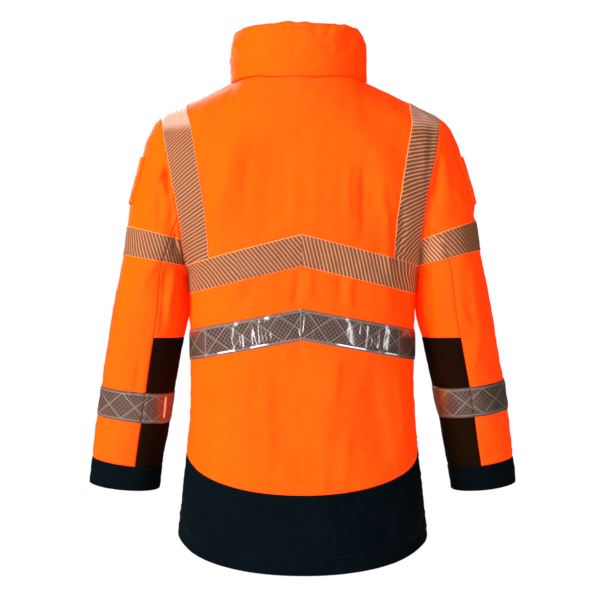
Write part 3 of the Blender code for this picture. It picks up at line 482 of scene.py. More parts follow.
def yoke_points(angles, columns, facing, side):
    """Rows above the high tape, each of which ends at its own angle of the armhole."""
    start_x = 0.0 if facing > 0 else ZIP_HALF
    low_edge_z = armhole_z(ARMHOLE_ANGLES[1])
    low_edge_x = armhole_x(low_edge_z)
    low_x = zoned(
        columns,
        lambda part: mix(start_x, NECK_COLUMN_X, part),
        lambda part: mix(NECK_COLUMN_X, STRIP_COLUMN_X, part),
        lambda part: mix(STRIP_COLUMN_X, low_edge_x, np.sin(np.pi / 2 * part)),
    )
    low_z = mix(HIGH_TAPE_TOP["back" if facing > 0 else "front"], low_edge_z, low_x / low_edge_x)
    start = math.degrees(math.asin(start_x / NECK_HALF_WIDTH))
    round_neck = mix(start, 90.0, np.clip(columns / NECK_STEPS, 0.0, 1.0))
    neck = neck_point(round_neck if facing > 0 else 180 - round_neck)
    over = zoned(
        columns,
        lambda part: neck[:, 0],
        lambda part: mix(NECK_HALF_WIDTH, STRIP_RIDGE_X, part),
        lambda part: mix(STRIP_RIDGE_X, SHOULDER_TIP[0], part),
    )
    on_neck = columns < NECK_STEPS
    high_y, high_z = np.where(on_neck, neck[:, 1], 0.0), np.where(on_neck, neck[:, 2], ridge_z(over))
    high = stack(over, high_y, high_z)
    edge = armhole_point(angles, facing)
    risen = ((edge[:, 2] - low_edge_z) / (SHOULDER_TIP[1] - low_edge_z))[:, None]
    pull = edge[:, :1] - mix(low_edge_x, SHOULDER_TIP[0], risen)
    x = mix(low_x, high[:, 0], risen) + pull * np.minimum(1.0, columns / STRIP_COLUMN)
    z = mix(low_z, high[:, 2], risen)
    points = stack(x, body_y(x, z, facing, side), z)
    points[:, -1] = np.where(columns[-1] >= LAST_COLUMN, edge, points[:, -1])
    points[angles <= 0] = high
    return points


def body_points(rows, columns, facing, side):
    """The trunk's surface from the hem seam (row 0) to the neck and shoulder seam (row 16)."""
    points = np.empty((len(rows), len(columns), 3))
    low, high = rows <= ARMPIT_ROW, rows >= HIGH_TAPE_TOP_ROW
    points[low] = section_points(rows[low], columns, LEVELS, facing, side)
    angles = np.interp(rows, np.arange(ARMPIT_ROW, TOP_ROW + 1), ARMHOLE_ANGLES)
    points[high] = yoke_points(angles[high], columns, facing, side)
    between = ~(low | high)
    if between.any():
        bottom = section_points(np.array([float(ARMPIT_ROW)]), columns, LEVELS, facing, side)
        top = yoke_points(np.array([float(ARMHOLE_ANGLES[1])]), columns, facing, side)
        share = (rows[between] - ARMPIT_ROW)[:, None]
        edge = armhole_point(angles[between], facing)
        straight_x = mix(bottom[..., 0], top[..., 0], share)
        pull = edge[:, :1] - straight_x[:, -1:]
        x = straight_x + pull * np.clip((columns - STRIP_COLUMN) / STRIP_STEPS, 0.0, 1.0)
        z = mix(bottom[..., 2], top[..., 2], share)
        strip = stack(x, body_y(x, z, facing, side), z)
        strip[:, -1] = edge
        points[between] = strip
    return placed(points, side)


def hem_points(rows, columns, facing, side):
    return placed(section_points(rows, columns, HEM_LEVELS, facing, side), side)


def sleeve_curve(values, first=0):
    return Curve(range(first, first + len(values)), values)


def sleeve_curves(side):
    """The sleeve's tables as curves over its rows, with the shifts of its own side."""
    outer_x, outer_z = list(SLEEVE_OUTER_X), list(SLEEVE_OUTER_Z)
    inner_z = list(SLEEVE_INNER_Z)
    first = SLEEVE_ROW["armpit"]
    for name, row in SLEEVE_ROW.items():
        if "tape" in name:
            outer_z[row] += SLEEVE_TAPE_SHIFT[side]
            if row > first:
                inner_z[row - first] += SLEEVE_TAPE_SHIFT[side]
        if name in ("patch_mid", "patch_bottom"):
            outer_x[row] += SLEEVE_PATCH_SHIFT[side]
    seam = SLEEVE_SEAM_BACK[side]
    back = list(SLEEVE_END[:7]) + [mix(seam, 108, 0.5)] + [seam] * 13
    front = list(SLEEVE_END[:7]) + [114] + [SLEEVE_SEAM_FRONT] * 13
    return {
        "outer_x": sleeve_curve(outer_x),
        "outer_z": sleeve_curve(outer_z),
        "inner_x": sleeve_curve(SLEEVE_INNER_X, first),
        "inner_z": sleeve_curve(inner_z, first),
        "back": sleeve_curve(SLEEVE_BACK, first),
        "front": sleeve_curve(SLEEVE_FRONT, first),
        "lean": sleeve_curve(SLEEVE_LEAN, first),
        "end": sleeve_curve(SLEEVE_END + (180,) * 11),
        "seam": {1: sleeve_curve(back), -1: sleeve_curve(front)},
    }


def sleeve_points(rows, angles, side):
    """The sleeve's surface at rows and angles: 0 on the outer line and positive towards the back."""
    table = sleeve_curves(side)
    rows = rows[:, None] + 0 * angles
    turn = np.radians(angles)
    back = np.sin(turn) >= 0
    outer_x, outer_z = table["outer_x"](rows), table["outer_z"](rows)
    end = np.clip(table["end"](rows), 1e-3, 179.9)
    tip = np.where((angles >= 0)[..., None], armhole_point(end, 1), armhole_point(end, -1))
    swing = (1 - np.cos(turn)) / (1 - np.cos(np.radians(end)))
    depth = np.abs(tip[..., 1]) / np.sin(np.radians(end))
    cap = stack(mix(outer_x, tip[..., 0], swing), depth * np.sin(turn), mix(outer_z, tip[..., 2], swing))
    cap = np.where((np.abs(angles) >= end - 1e-6)[..., None], tip, cap)

    inner_z = table["inner_z"](rows)
    down = np.clip((ARMPIT[1] - inner_z) / (ARMPIT[1] - SLEEVE_INNER_Z[9]), 0.0, 1.0)
    inner_x = table["inner_x"](rows) + SLEEVE_INNER_SHIFT[side] * down
    around = np.where(back, table["back"](rows), table["front"](rows)) * np.sin(turn)
    x = (outer_x + inner_x) / 2 + (outer_x - inner_x) / 2 * np.cos(turn)
    z = (outer_z + inner_z) / 2 + (outer_z - inner_z) / 2 * np.cos(turn) - SLEEVE_TILT * down * around
    ring = stack(x, table["lean"](rows) + around, z)
    return placed(np.where((rows < SLEEVE_ROW["armpit"])[..., None], cap, ring), side)


# ---------------------------------------------------------------- stations, creases and sheets


def stations(first, steps):
    """Places along an index from "first" on, so many steps in each unit, with finer ones at both ends."""
    steps = [max(1, round(count * (1))) for count in steps]
    places = [first + i + k / count for i, count in enumerate(steps) for k in range(count)]
    places.append(float(first + len(steps)))
    start, end = 1 / steps[0], 1 / steps[-1]
    for part in (0.16, 0.36, 0.66):
        places += [first + part * start, first + len(steps) - part * end]
    return np.array(sorted(places))


def arcs(points, axis):
    """Distance walked along an axis of a grid of points, from its first row or column."""
    steps = np.linalg.norm(np.diff(points, axis=axis), axis=-1)
    start = np.zeros_like(np.take(steps, [0], axis=axis))
    return np.concatenate([start, np.cumsum(steps, axis=axis)], axis=axis)


def unit(vectors):
    return vectors / np.maximum(np.linalg.norm(vectors, axis=-1, keepdims=True), 1e-9)


def ripple(points, length, seed):
    """A smooth random swell of about -1 to 1 whose bumps are "length" apart."""
    chance = np.random.default_rng(seed)
    total = 0.0
    for _ in range(9):
        way = unit(chance.normal(size=3))
        turns = 2 * np.pi / (length * chance.uniform(0.75, 1.35))
        total = total + np.sin(points @ way * turns + chance.uniform(0, 2 * np.pi))
    return total / 3


def creased(x, z, creases):
    """The height of a table of creases, each a soft line that bows, wavers and fades out at its ends."""
    total = np.zeros_like(x)
    for number, (x0, z0, x1, z1, bow, half, height) in enumerate(creases):
        length = math.hypot(x1 - x0, z1 - z0)
        along_x, along_z = (x1 - x0) / length, (z1 - z0) / length
        limit = length / 2 + 4 * half + 10
        near = (np.abs(x - (x0 + x1) / 2) < limit) & (np.abs(z - (z0 + z1) / 2) < limit)
        dx, dz = x[near] - x0, z[near] - z0
        t = (dx * along_x + dz * along_z) / length
        waver = 1.3 * np.sin(t * length / 17 + number) + 0.7 * np.sin(t * length / 7.3 + 2.1 * number)
        across = dx * -along_z + dz * along_x - 4 * bow * t * (1 - t) - waver * min(1.0, half / 7)
        wide = half * (0.75 + 0.5 * np.clip(t, 0, 1))
        lean = 1.45 if number % 2 else 0.7
        across = across / wide * np.where(across > 0, lean, 1 / lean)
        fade = smooth(-0.06, 0.3, t) * smooth(1.06, 0.7, t)
        total[near] += height * fade * np.exp(-(across**2))
    return total


class Sheet:
    """A grid of the garment's surface with outward normals, seam distances and the creased points."""

    def __init__(self, points, inside, seams, closed=False, sink=1.1, centre_column=None, stiff=0.0):
        self.points, self.stiff = points, stiff
        self.normals = self.outward(points, inside, closed)
        self.along, self.down = arcs(points, 1), arcs(points, 0)
        if centre_column is not None:
            self.along = self.along - self.along[:, centre_column : centre_column + 1]
        self.seam = self.seam_distance(seams)
        self.creased = points + self.normals * self.height(sink)[..., None]

    @staticmethod
    def outward(points, inside, closed):
        """The grid's normals, turned away from a point inside the garment."""
        spread = np.concatenate([points[:, -2:-1], points, points[:, 1:2]], axis=1) if closed else points
        cross = np.cross(np.gradient(spread, axis=1), np.gradient(spread, axis=0))
        cross = cross[:, 1:-1] if closed else cross
        size = np.linalg.norm(cross, axis=-1)
        for row in (0, -1):
            if size[row].max() < 1e-3:
                cross[row] = cross[1 if row == 0 else -2]
        normals = unit(cross)
        r, c = points.shape[0] // 2, points.shape[1] // 2
        if np.dot(normals[r, c], points[r, c] - np.asarray(inside)) < 0:
            normals = -normals
        return normals

    def seam_distance(self, seams):
        """Distance from each point to the nearest of the edges that are sewn."""
        far = np.full(self.points.shape[:2], 1e3)
        if "first_row" in seams:
            far = np.minimum(far, self.down)
        if "last_row" in seams:
            far = np.minimum(far, self.down[-1:] - self.down)
        if "first_column" in seams:
            far = np.minimum(far, np.abs(self.along - self.along[:, :1]))
        if "last_column" in seams:
            far = np.minimum(far, np.abs(self.along[:, -1:] - self.along))
        return far

    def height(self, sink):
        """How far the cloth stands off the frame's surface: creases, ripples, puckers and sunk seams."""
        p, n = self.points, self.normals
        back, front = smooth(0.05, 0.45, n[..., 1]), smooth(0.05, 0.45, -n[..., 1])
        strength = bpy.context.scene.jacket_sizes.crease_strength
        total = back * creased(p[..., 0], p[..., 2], CREASES)
        # The front has the same creases mirrored, a little wider apart and shifted.
        total += front * creased(-0.96 * p[..., 0] + 6, p[..., 2] + 11, CREASES)
        broad, fine = 0.8 * ripple(p, 85, 3), 0.28 * ripple(p, 30, 5) + 0.12 * ripple(p, 15, 8)
        total += broad + (1 - self.stiff) * fine
        total *= strength * (0.35 + 0.65 * smooth(0, 14, self.seam))
        total += 0.3 * ripple(p, 11, 7) * np.exp(-((self.seam / 6) ** 2))
        touching = smooth(*TOUCH_BOTTOM, p[..., 2]) * smooth(*TOUCH_TOP, p[..., 2])
        touching = touching * (np.abs(p[..., 0]) < TOUCH_HALF_X)
        total += TOUCH_SWELL * touching * smooth(0.7, 0.97, np.abs(n[..., 0]))
        return total - sink * np.exp(-((self.seam / 1.9) ** 2))

    def block(self, rows=slice(None), columns=slice(None), lift=0.0):
        return self.creased[rows, columns] + self.normals[rows, columns] * lift


def stiffened(rows, first, last):
    """How far the glossy tape between two rows smooths the cloth that it is sewn to."""
    return (0.9 * smooth(first - 0.3, first, rows) * smooth(last + 0.3, last, rows))[:, None]


def index_of(places, value):
    return int(np.argmin(np.abs(places - value)))


def span_of(places, first, last):
    return slice(index_of(places, first), index_of(places, last) + 1)


BODY_ROWS = stations(0, BODY_ROW_STEPS)
BODY_COLUMNS = stations(0, BODY_COLUMN_STEPS)
HEM_ROWS = stations(0, HEM_ROW_STEPS)


def trunk_sheet(part, points, x, column, **settings):
    """A sheet of the trunk or of its hem band, with a point at x in the column's mid height inside it."""
    inside = (x, 0, points[len(points) // 2, column, 2])
    if part == "hem":
        return Sheet(points, inside, SEAMS[part], **settings)
    sheet = Sheet(points, inside, SEAMS[part], stiff=stiffened(BODY_ROWS, *LOW_TAPE_ROWS), **settings)
    neck_seam = 0.5 * np.exp(-(((sheet.down[-1:] - sheet.down) / 2.0) ** 2))
    sheet.creased -= sheet.normals * neck_seam[..., None]
    return sheet


def trunk_points(part, facing, side):
    if part == "hem":
        return hem_points(HEM_ROWS, BODY_COLUMNS, facing, side)
    return body_points(BODY_ROWS, BODY_COLUMNS, facing, side)


@functools.lru_cache(None)
def back_sheet(part):
    """The back's trunk or hem band, from the wearer's left side across to the right."""
    left, right = trunk_points(part, 1, 1)[:, ::-1], trunk_points(part, 1, -1)
    points = np.concatenate([left, right[:, 1:]], axis=1)
    centre = len(BODY_COLUMNS) - 1
    return trunk_sheet(part, points, 0, centre, sink=1.0, centre_column=centre)


@functools.lru_cache(None)
def front_sheet(part, side):
    """One front's trunk or hem band, from the zip out to the side seam."""
    return trunk_sheet(part, trunk_points(part, -1, side), side * 60, 0, sink=0.9)


def sleeve_row_stations(first, last):
    start, stop = SLEEVE_ROW[first], SLEEVE_ROW[last]
    return stations(start, SLEEVE_ROW_STEPS[start:stop])


def fractions(steps):
    """Places from 0 to 1 with finer ones at both ends."""
    return stations(0, (steps,))


def inside_sleeve(side, row=11.0):
    """The middle of the sleeve at a row, which its faces look away from."""
    table = sleeve_curves(side)
    x = float((table["outer_x"](row) + table["inner_x"](row)) / 2)
    return side * x, 0.0, float((table["outer_z"](row) + table["inner_z"](row)) / 2)


@functools.lru_cache(None)
def top_sleeve(side):
    """Rows of the top sleeve, the columns' marks (-2 to 2, where 1 is the patch's edge) and its sheet."""
    rows = sleeve_row_stations("tip", "cuff_seam")
    half = np.concatenate([np.linspace(0, 1, PATCH_STEPS + 1)[:-1], 1 + fractions(TOP_STEPS)])
    half = half[(half < 1) | (half > 1.02) | (half == 1.0)]
    marks = np.concatenate([-half[:0:-1], half])
    table = sleeve_curves(side)
    patch = PATCH_ANGLE * np.minimum(1.0, table["end"](rows) / 60)[:, None]
    seam = np.where(marks > 0, table["seam"][1](rows)[:, None], table["seam"][-1](rows)[:, None])
    size = np.abs(marks)
    angles = np.sign(marks) * np.where(size <= 1, patch * size, mix(patch, seam, size - 1))
    points = sleeve_points(rows, angles, side)
    middle = len(marks) // 2
    seams = ("first_column", "last_column", "last_row")
    sheet = Sheet(points, inside_sleeve(side), seams, sink=1.6, centre_column=middle)
    return rows, marks, sheet


@functools.lru_cache(None)
def under_wedge(side, facing):
    """The under sleeve beside the armhole, from the sleeve's seam in to the armhole's edge."""
    rows = sleeve_row_stations("seam_start", "armpit")
    table = sleeve_curves(side)
    seam, end = table["seam"][facing](rows)[:, None], table["end"](rows)[:, None]
    angles = facing * mix(seam, end, fractions(UNDER_STEPS))
    points = sleeve_points(rows, angles, side)
    return rows, Sheet(points, inside_sleeve(side, 9.0), ("first_column", "last_column"))


@functools.lru_cache(None)
def under_ring(side, first, last):
    """The under sleeve below the armpit, from the back seam round the inner line to the front seam."""
    rows = sleeve_row_stations(first, last)
    table = sleeve_curves(side)
    back, front = table["seam"][1](rows)[:, None], 360 - table["seam"][-1](rows)[:, None]
    share = fractions(UNDER_STEPS)
    angles = np.concatenate([mix(back, 180, share), mix(180, front, share[1:])], axis=1)
    seams = ("first_column", "last_column", "last_row") + (() if first == "armpit" else ("first_row",))
    middle = inside_sleeve(side, (rows[0] + rows[-1]) / 2)
    return rows, Sheet(sleeve_points(rows, angles, side), middle, seams)


@functools.lru_cache(None)
def cuff_sheet(side):
    """Rows of the cuff and its sheet, closed at the inner line."""
    rows = sleeve_row_stations("cuff_seam", "cuff_end")
    angles = np.linspace(-180, 180, 97)[None, :] + 0 * rows[:, None]
    points = sleeve_points(rows, angles, side)
    return rows, Sheet(points, inside_sleeve(side, 19.0), ("first_row",), closed=True)


# ---------------------------------------------------------------- meshes


def new_object(name, mesh):
    data = bpy.data.meshes.new(name)
    mesh.to_mesh(data)
    mesh.free()
    made = bpy.data.objects.new(name, data)
    bpy.context.scene.collection.objects.link(made)
    return made


def add_grid(mesh, points, uv, normals=None):
    """Blender's own flat grid, laid over a grid of points (mm) with its texture places (mm)."""
    rows, columns = points.shape[:2]
    flat = bmesh.new()
    flat.loops.layers.uv.new("UVMap")
    bmesh.ops.create_grid(flat, x_segments=columns - 1, y_segments=rows - 1, size=0.5, calc_uvs=True)
    data = bpy.data.meshes.new("grid")
    flat.to_mesh(data)
    flat.free()
    places = np.empty(len(data.vertices) * 3, np.float32)
    data.vertices.foreach_get("co", places)
    places = places.reshape(-1, 3)
    column = np.rint((places[:, 0] + 0.5) * (columns - 1)).astype(int)
    row = np.rint((places[:, 1] + 0.5) * (rows - 1)).astype(int)
    data.vertices.foreach_set("co", (points[row, column] * METRE).astype(np.float32).ravel())
    loops = np.empty(len(data.loops), np.int32)
    data.loops.foreach_get("vertex_index", loops)
    data.uv_layers[0].data.foreach_set("uv", uv[row, column][loops].astype(np.float32).ravel())
    if normals is not None:
        r, c = rows // 2, columns // 2
        corner = [Vector(points[a, b]) for a, b in ((r, c), (r, c + 1), (r + 1, c))]
        facing = (corner[1] - corner[0]).cross(corner[2] - corner[0])
        if facing.dot(Vector(normals[r, c])) < 0:
            data.flip_normals()
    mesh.from_mesh(data)
    bpy.data.meshes.remove(data)


def grid_uv(points):
    return np.stack([arcs(points, 1), arcs(points, 0)], axis=-1)


def cloth_object(name, grids, material, thickness, outward=False):
    """One piece of cloth from its grids of (points, uv, normals), sewn together and given thickness."""
    mesh = bmesh.new()
    for points, uv, normals in grids:
        add_grid(mesh, points, uv, normals)
    bmesh.ops.remove_doubles(mesh, verts=mesh.verts, dist=2e-5)
    bmesh.ops.dissolve_degenerate(mesh, edges=mesh.edges, dist=1e-6)
    made = new_object(name, mesh)
    made.data.shade_smooth()
    made.data.materials.append(material)
    wall = made.modifiers.new("cloth thickness", "SOLIDIFY")
    wall.thickness = thickness
    wall.offset = 1.0 if outward else -1.0
    wall.use_even_offset = False
    return made


def cloth_area(grids):
    """The area of the cloth in some grids, in square metres."""
    area = 0.0
    for points, _, _ in grids:
        first = points[1:, :-1] - points[:-1, :-1]
        second = points[:-1, 1:] - points[:-1, :-1]
        third = points[1:, :-1] - points[1:, 1:]
        fourth = points[:-1, 1:] - points[1:, 1:]
        area += 0.5 * (
            np.linalg.norm(np.cross(first, second), axis=-1).sum()
            + np.linalg.norm(np.cross(third, fourth), axis=-1).sum()
        )
    return area * METRE * METRE


def declare(piece, grids, size, nodes, slot):
    """Attach a cloth piece to the garment's body and hide the solids it stands for. The slot for its finish
    is not used, and the flat size of its cut is worked out but not kept.
    """
    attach(piece, GARMENT)
    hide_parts(*nodes)
    area = cloth_area(grids)
    width, length = max(size[0], 12.0) * METRE, size[1] * METRE
    scale = max(1.0, math.sqrt(area / (width * length)))
    flat = (round(width * scale, 4), round(length * scale, 4))


def widest(sheet):
    """Across the widest row and down the longest column of a sheet."""
    return np.ptp(sheet.along, axis=1).max(), sheet.down[-1].max()


def sheet_grid(sheet):
    return sheet.creased, np.stack([sheet.along, sheet.down], axis=-1), sheet.normals


def tape_base(sheet, rows, columns=slice(None)):
    """Points just off the cloth on some rows and columns of a sheet, for a tape, and their normals."""
    return sheet.block(rows, columns, TAPE_LIFT), sheet.normals[rows, columns]


def half_trunk(facing, side):
    """The trunk's sheet that faces one way, and its columns on one side, from the centre out."""
    if facing < 0:
        return front_sheet("body", side), slice(None)
    centre = len(BODY_COLUMNS) - 1
    return back_sheet("body"), slice(centre, None, -1) if side > 0 else slice(centre, None)


def finer(values, times):
    """A grid of values with more rows and columns between its own, along straight lines."""
    for axis in (0, 1):
        count = values.shape[axis]
        at = np.linspace(0, count - 1, (count - 1) * times + 1)
        low = np.minimum(at.astype(int), count - 2)
        share = (at - low).reshape((-1, 1, 1) if axis == 0 else (1, -1, 1))
        values = mix(np.take(values, low, axis=axis), np.take(values, low + 1, axis=axis), share)
    return values


def tape_uv(points, start, direction, flip, spread=1.0):
    """Places on a tape: distance along it and height above its lower edge, as if it lay flat.

    A "spread" below 1 keeps the repeat even as seen from behind, down to that share of its flat size.
    """
    points = points[::-1] if flip else points
    bottom = points[0]
    axis = unit(np.gradient(bottom, axis=0))
    steps = np.diff(bottom, axis=0)
    whole = np.linalg.norm(steps, axis=-1)
    seen = np.hypot(steps[:, 0], steps[:, 2])
    walked = start + np.concatenate([[0.0], np.cumsum(np.maximum(seen, spread * whole))])
    offset = points - bottom
    along = walked + (offset * axis).sum(-1)
    up = np.linalg.norm(offset - (offset * axis).sum(-1)[..., None] * axis, axis=-1)
    up = up * TAPE_WIDTH / np.maximum(up[-1:], 0.8 * TAPE_WIDTH)
    uv = np.stack([direction * along, up], axis=-1)
    return uv[::-1] if flip else uv


# ---------------------------------------------------------------- shader graphs


class Wire:
    """A shader value that takes part in Python arithmetic through Math nodes."""

    def __init__(self, graph, socket):
        self.graph, self.socket = graph, socket

    def math(self, operation, *others, **settings):
        node = self.graph.node("ShaderNodeMath", {"operation": operation, **settings}, (self, *others))
        return Wire(self.graph, node.outputs[0])

    def __add__(self, other):
        return self.math("ADD", other)

    __radd__ = __add__

    def __mul__(self, other):
        return self.math("MULTIPLY", other)

    __rmul__ = __mul__

    def __sub__(self, other):
        return self.math("SUBTRACT", other)

    def __rsub__(self, other):
        return (self * -1.0) + other

    def __truediv__(self, other):
        return self.math("DIVIDE", other)

    def __abs__(self):
        return self.math("ABSOLUTE")

    def sine(self):
        return self.math("SINE")

    def fraction(self):
        return self.math("FRACT")

    def floor(self):
        return self.math("FLOOR")

    def minimum(self, other):
        return self.math("MINIMUM", other)

    def maximum(self, other):
        return self.math("MAXIMUM", other)

    def power(self, other):
        return self.math("POWER", other)

    def step(self, low, high):
        """0 below "low", 1 above "high" and smooth between."""
        node = self.graph.node(
            "ShaderNodeMapRange",
            {"interpolation_type": "SMOOTHSTEP"},
            {"Value": self, "From Min": low, "From Max": high, "To Min": 0.0, "To Max": 1.0},
        )
        return Wire(self.graph, node.outputs[0])


class Finish:
    """A material and the shader nodes that make it."""

    def __init__(self, name):
        self.material = bpy.data.materials.new(name)
        self.material.use_nodes = True
        self.tree = self.material.node_tree
        self.shader = self.tree.nodes["Principled BSDF"]

    def node(self, kind, settings, inputs):
        made = self.tree.nodes.new(kind)
        for key, value in settings.items():
            setattr(made, key, value)
        pairs = inputs.items() if isinstance(inputs, dict) else enumerate(inputs)
        for key, value in pairs:
            if isinstance(value, Wire):
                self.tree.links.new(value.socket, made.inputs[key])
            else:
                made.inputs[key].default_value = value
        return made

    def wire(self, kind, settings, inputs, output=0):
        return Wire(self, self.node(kind, settings, inputs).outputs[output])

    def place(self):
        """Object coordinates in millimetres, as a vector."""
        spot = self.wire("ShaderNodeTexCoord", {}, {}, "Object")
        return self.wire("ShaderNodeVectorMath", {"operation": "SCALE"}, {0: spot, "Scale": 1000.0})

    def parts(self, vector):
        """The three numbers of a vector."""
        split = self.node("ShaderNodeSeparateXYZ", {}, {0: vector})
        return [Wire(self, socket) for socket in split.outputs]

    def flat(self):
        """The two texture coordinates, in millimetres of cloth."""
        return self.parts(self.wire("ShaderNodeUVMap", {"uv_map": "UVMap"}, {}))[:2]

    def noise(self, place, size, detail=2.0, rough=0.5):
        """Noise of 0 to 1 whose blotches are about "size" millimetres."""
        values = {"Vector": place, "Scale": 1.0 / size, "Detail": detail, "Roughness": rough}
        return self.wire("ShaderNodeTexNoise", {}, values)

    def mixed(self, amount, first, second):
        inputs = {0: amount, 6: first, 7: second}
        return self.wire("ShaderNodeMix", {"data_type": "RGBA", "clamp_factor": True}, inputs, 2)

    def bump(self, height, distance, strength=1.0, normal=None):
        inputs = {"Height": height, "Distance": distance, "Strength": strength}
        if normal is not None:
            inputs["Normal"] = normal
        return self.wire("ShaderNodeBump", {}, inputs)

    def set(self, **values):
        for key, value in values.items():
            socket = self.shader.inputs[key.replace("_", " ")]
            if isinstance(value, Wire):
                self.tree.links.new(value.socket, socket)
            else:
                socket.default_value = value


def opaque(colour):
    return (*colour[:3], 1.0)


def shade(colour, amount):
    return (*[min(1.0, value * amount) for value in colour[:3]], 1.0)


def woven(name, colour, variation, roughness, specular, painted_glow=None, painted_glow_strength=0.0):
    """Coated woven cloth: uneven dye, a plain weave and small rumples, and where given a painted glow that
    lifts its shade.
    """
    finish = Finish(name)
    place = finish.place()
    blotch = finish.noise(place, 70.0, 3.0)
    fine = finish.noise(place, 9.0, 2.0)
    tone = (blotch * 0.7 + fine * 0.3).step(0.3, 0.7)
    base = finish.mixed(tone, shade(colour, 1 - variation), shade(colour, 1 + variation))
    u, v = finish.flat()
    turns = 2 * math.pi / 0.9
    weave = (u * turns).sine() * (v * turns).sine()
    cloth = finish.bump(fine, 0.0006, 0.35)
    threads = finish.bump(weave * 0.5 + 0.5, 0.00005, 0.5, cloth)
    finish.set(Base_Color=base, Normal=threads)
    finish.set(Roughness=fine * 0.12 + (roughness - 0.06), Specular_IOR_Level=specular)
    # Painted glow: an emission that lifts the cloth's shade.
    if painted_glow is not None:
        finish.set(Emission_Color=opaque(painted_glow), Emission_Strength=painted_glow_strength)
    return finish.material


@functools.lru_cache(None)
def materials():
    colours = bpy.context.scene.jacket_colours
    sizes = bpy.context.scene.jacket_sizes
    made = {
        # The orange cloth carries a painted glow that lifts its shade.
        "shell": woven("orange shell cloth", colours.shell, 0.04, 0.6, 0.06, SHELL_PAINTED_GLOW, 0.45),
        "navy": woven("navy shell cloth", colours.band, 0.12, 0.7, 0.012),
        "dark": woven("brown black shell cloth", colours.panel, 0.12, 0.75, 0.015),
        "striped": striped_tape(colours, sizes),
        "glossy": glossy_tape(colours),
        "zip": woven("zip tape", ZIP_CLOTH, 0.15, 0.8, 0.2),
    }
    teeth = Finish("moulded zip teeth")
    grain = teeth.noise(teeth.place(), 1.2, 2.0)
    teeth.set(Base_Color=teeth.mixed(grain, (0.01, 0.01, 0.011, 1), (0.022, 0.022, 0.024, 1)))
    teeth.set(Roughness=grain * 0.15 + 0.3)
    made["teeth"] = teeth.material
    metal = Finish("satin zip metal")
    stretch = {0: metal.place(), 1: (6.0, 6.0, 0.4)}
    brushed = metal.wire("ShaderNodeVectorMath", {"operation": "MULTIPLY"}, stretch)
    streak = metal.noise(brushed, 1.0, 3.0)
    metal.set(Base_Color=metal.mixed(streak, (0.42, 0.42, 0.43, 1), (0.58, 0.58, 0.6, 1)), Metallic=1.0)
    metal.set(Roughness=streak * 0.2 + 0.22, Normal=metal.bump(streak, 0.00004, 0.5))
    made["metal"] = metal.material
    threads = {"orange": colours.thread, "navy": NAVY_THREAD, "grey": GREY_THREAD}
    for name, colour in threads.items():
        thread = Finish(f"{name} thread")
        twist = thread.noise(thread.place(), 0.6, 2.0)
        thread.set(Base_Color=thread.mixed(twist, shade(colour, 0.85), shade(colour, 1.12)), Roughness=0.6)
        thread.set(Specular_IOR_Level=0.15)
        # Painted glow: the orange thread shines red by itself, lifting its shade.
        if name == "orange":
            thread.set(Emission_Color=opaque(THREAD_PAINTED_GLOW), Emission_Strength=0.25)
        made[f"{name}_thread"] = thread.material
    return made


def striped_tape(colours, sizes):
    """Heat-applied tape: slanted grey segments of glass beads with the cloth showing between them."""
    finish = Finish("striped reflective tape")
    u, v = finish.flat()
    place = finish.place()
    slant = sizes.stripe_slant
    wobble = finish.noise(place, 40.0, 1.0)
    across = u * math.sin(slant) - v * math.cos(slant) + wobble * 1.6
    phase = (across / (sizes.stripe_pitch / METRE)).fraction()
    bar = 1 - abs(phase - 0.5).step(0.27, 0.37)
    edge = v.step(0.5, 0.9) * (TAPE_WIDTH - v).step(0.9, 1.3)
    grain = finish.noise(place, 1.1, 2.0)
    soft = finish.noise(place, 30.0, 2.0)
    side, _, height = finish.parts(place)
    # Painted light: the striped tape on the trunk grows lighter towards the wearer's right side.
    painted_side_light = (1 - side.step(-230.0, 60.0)) * side.step(-240.0, -225.0)
    # Painted glare: the striped tape turns paler over the tops of the shoulders.
    top = height.step(-90.0, -70.0)
    dull, bright = shade(colours.stripe_dark, 0.9), shade(colours.stripe_dark, 1.15)
    tape = finish.mixed(soft * 0.6 + grain * 0.4, dull, bright)
    tape = finish.mixed(painted_side_light, tape, shade(colours.stripe_dark, 1.4))
    tape = finish.mixed(top * 0.6, tape, opaque(colours.stripe_top_glare))
    cover = bar * edge
    pale = finish.mixed(painted_side_light, opaque(colours.stripe_pale), shade(colours.stripe_pale, 1.75))
    pale = finish.mixed(top * 0.6, pale, shade(colours.stripe_top_glare, 1.5))
    gaps = finish.mixed(edge, opaque(colours.stripe_edge), pale)
    finish.set(Base_Color=finish.mixed(cover, gaps, tape))
    finish.set(Roughness=grain * 0.2 + 0.4, Specular_IOR_Level=0.2)
    # Painted glow: the cloth between the bars shines red by itself, lifting its shade.
    painted_glow = finish.mixed(cover, (0.16, 0.02, 0.0, 1), (0.0, 0.0, 0.0, 1))
    finish.set(Emission_Color=painted_glow, Emission_Strength=0.5)
    finish.set(Normal=finish.bump(cover + grain * 0.25, 0.00012, 0.8))
    return finish.material


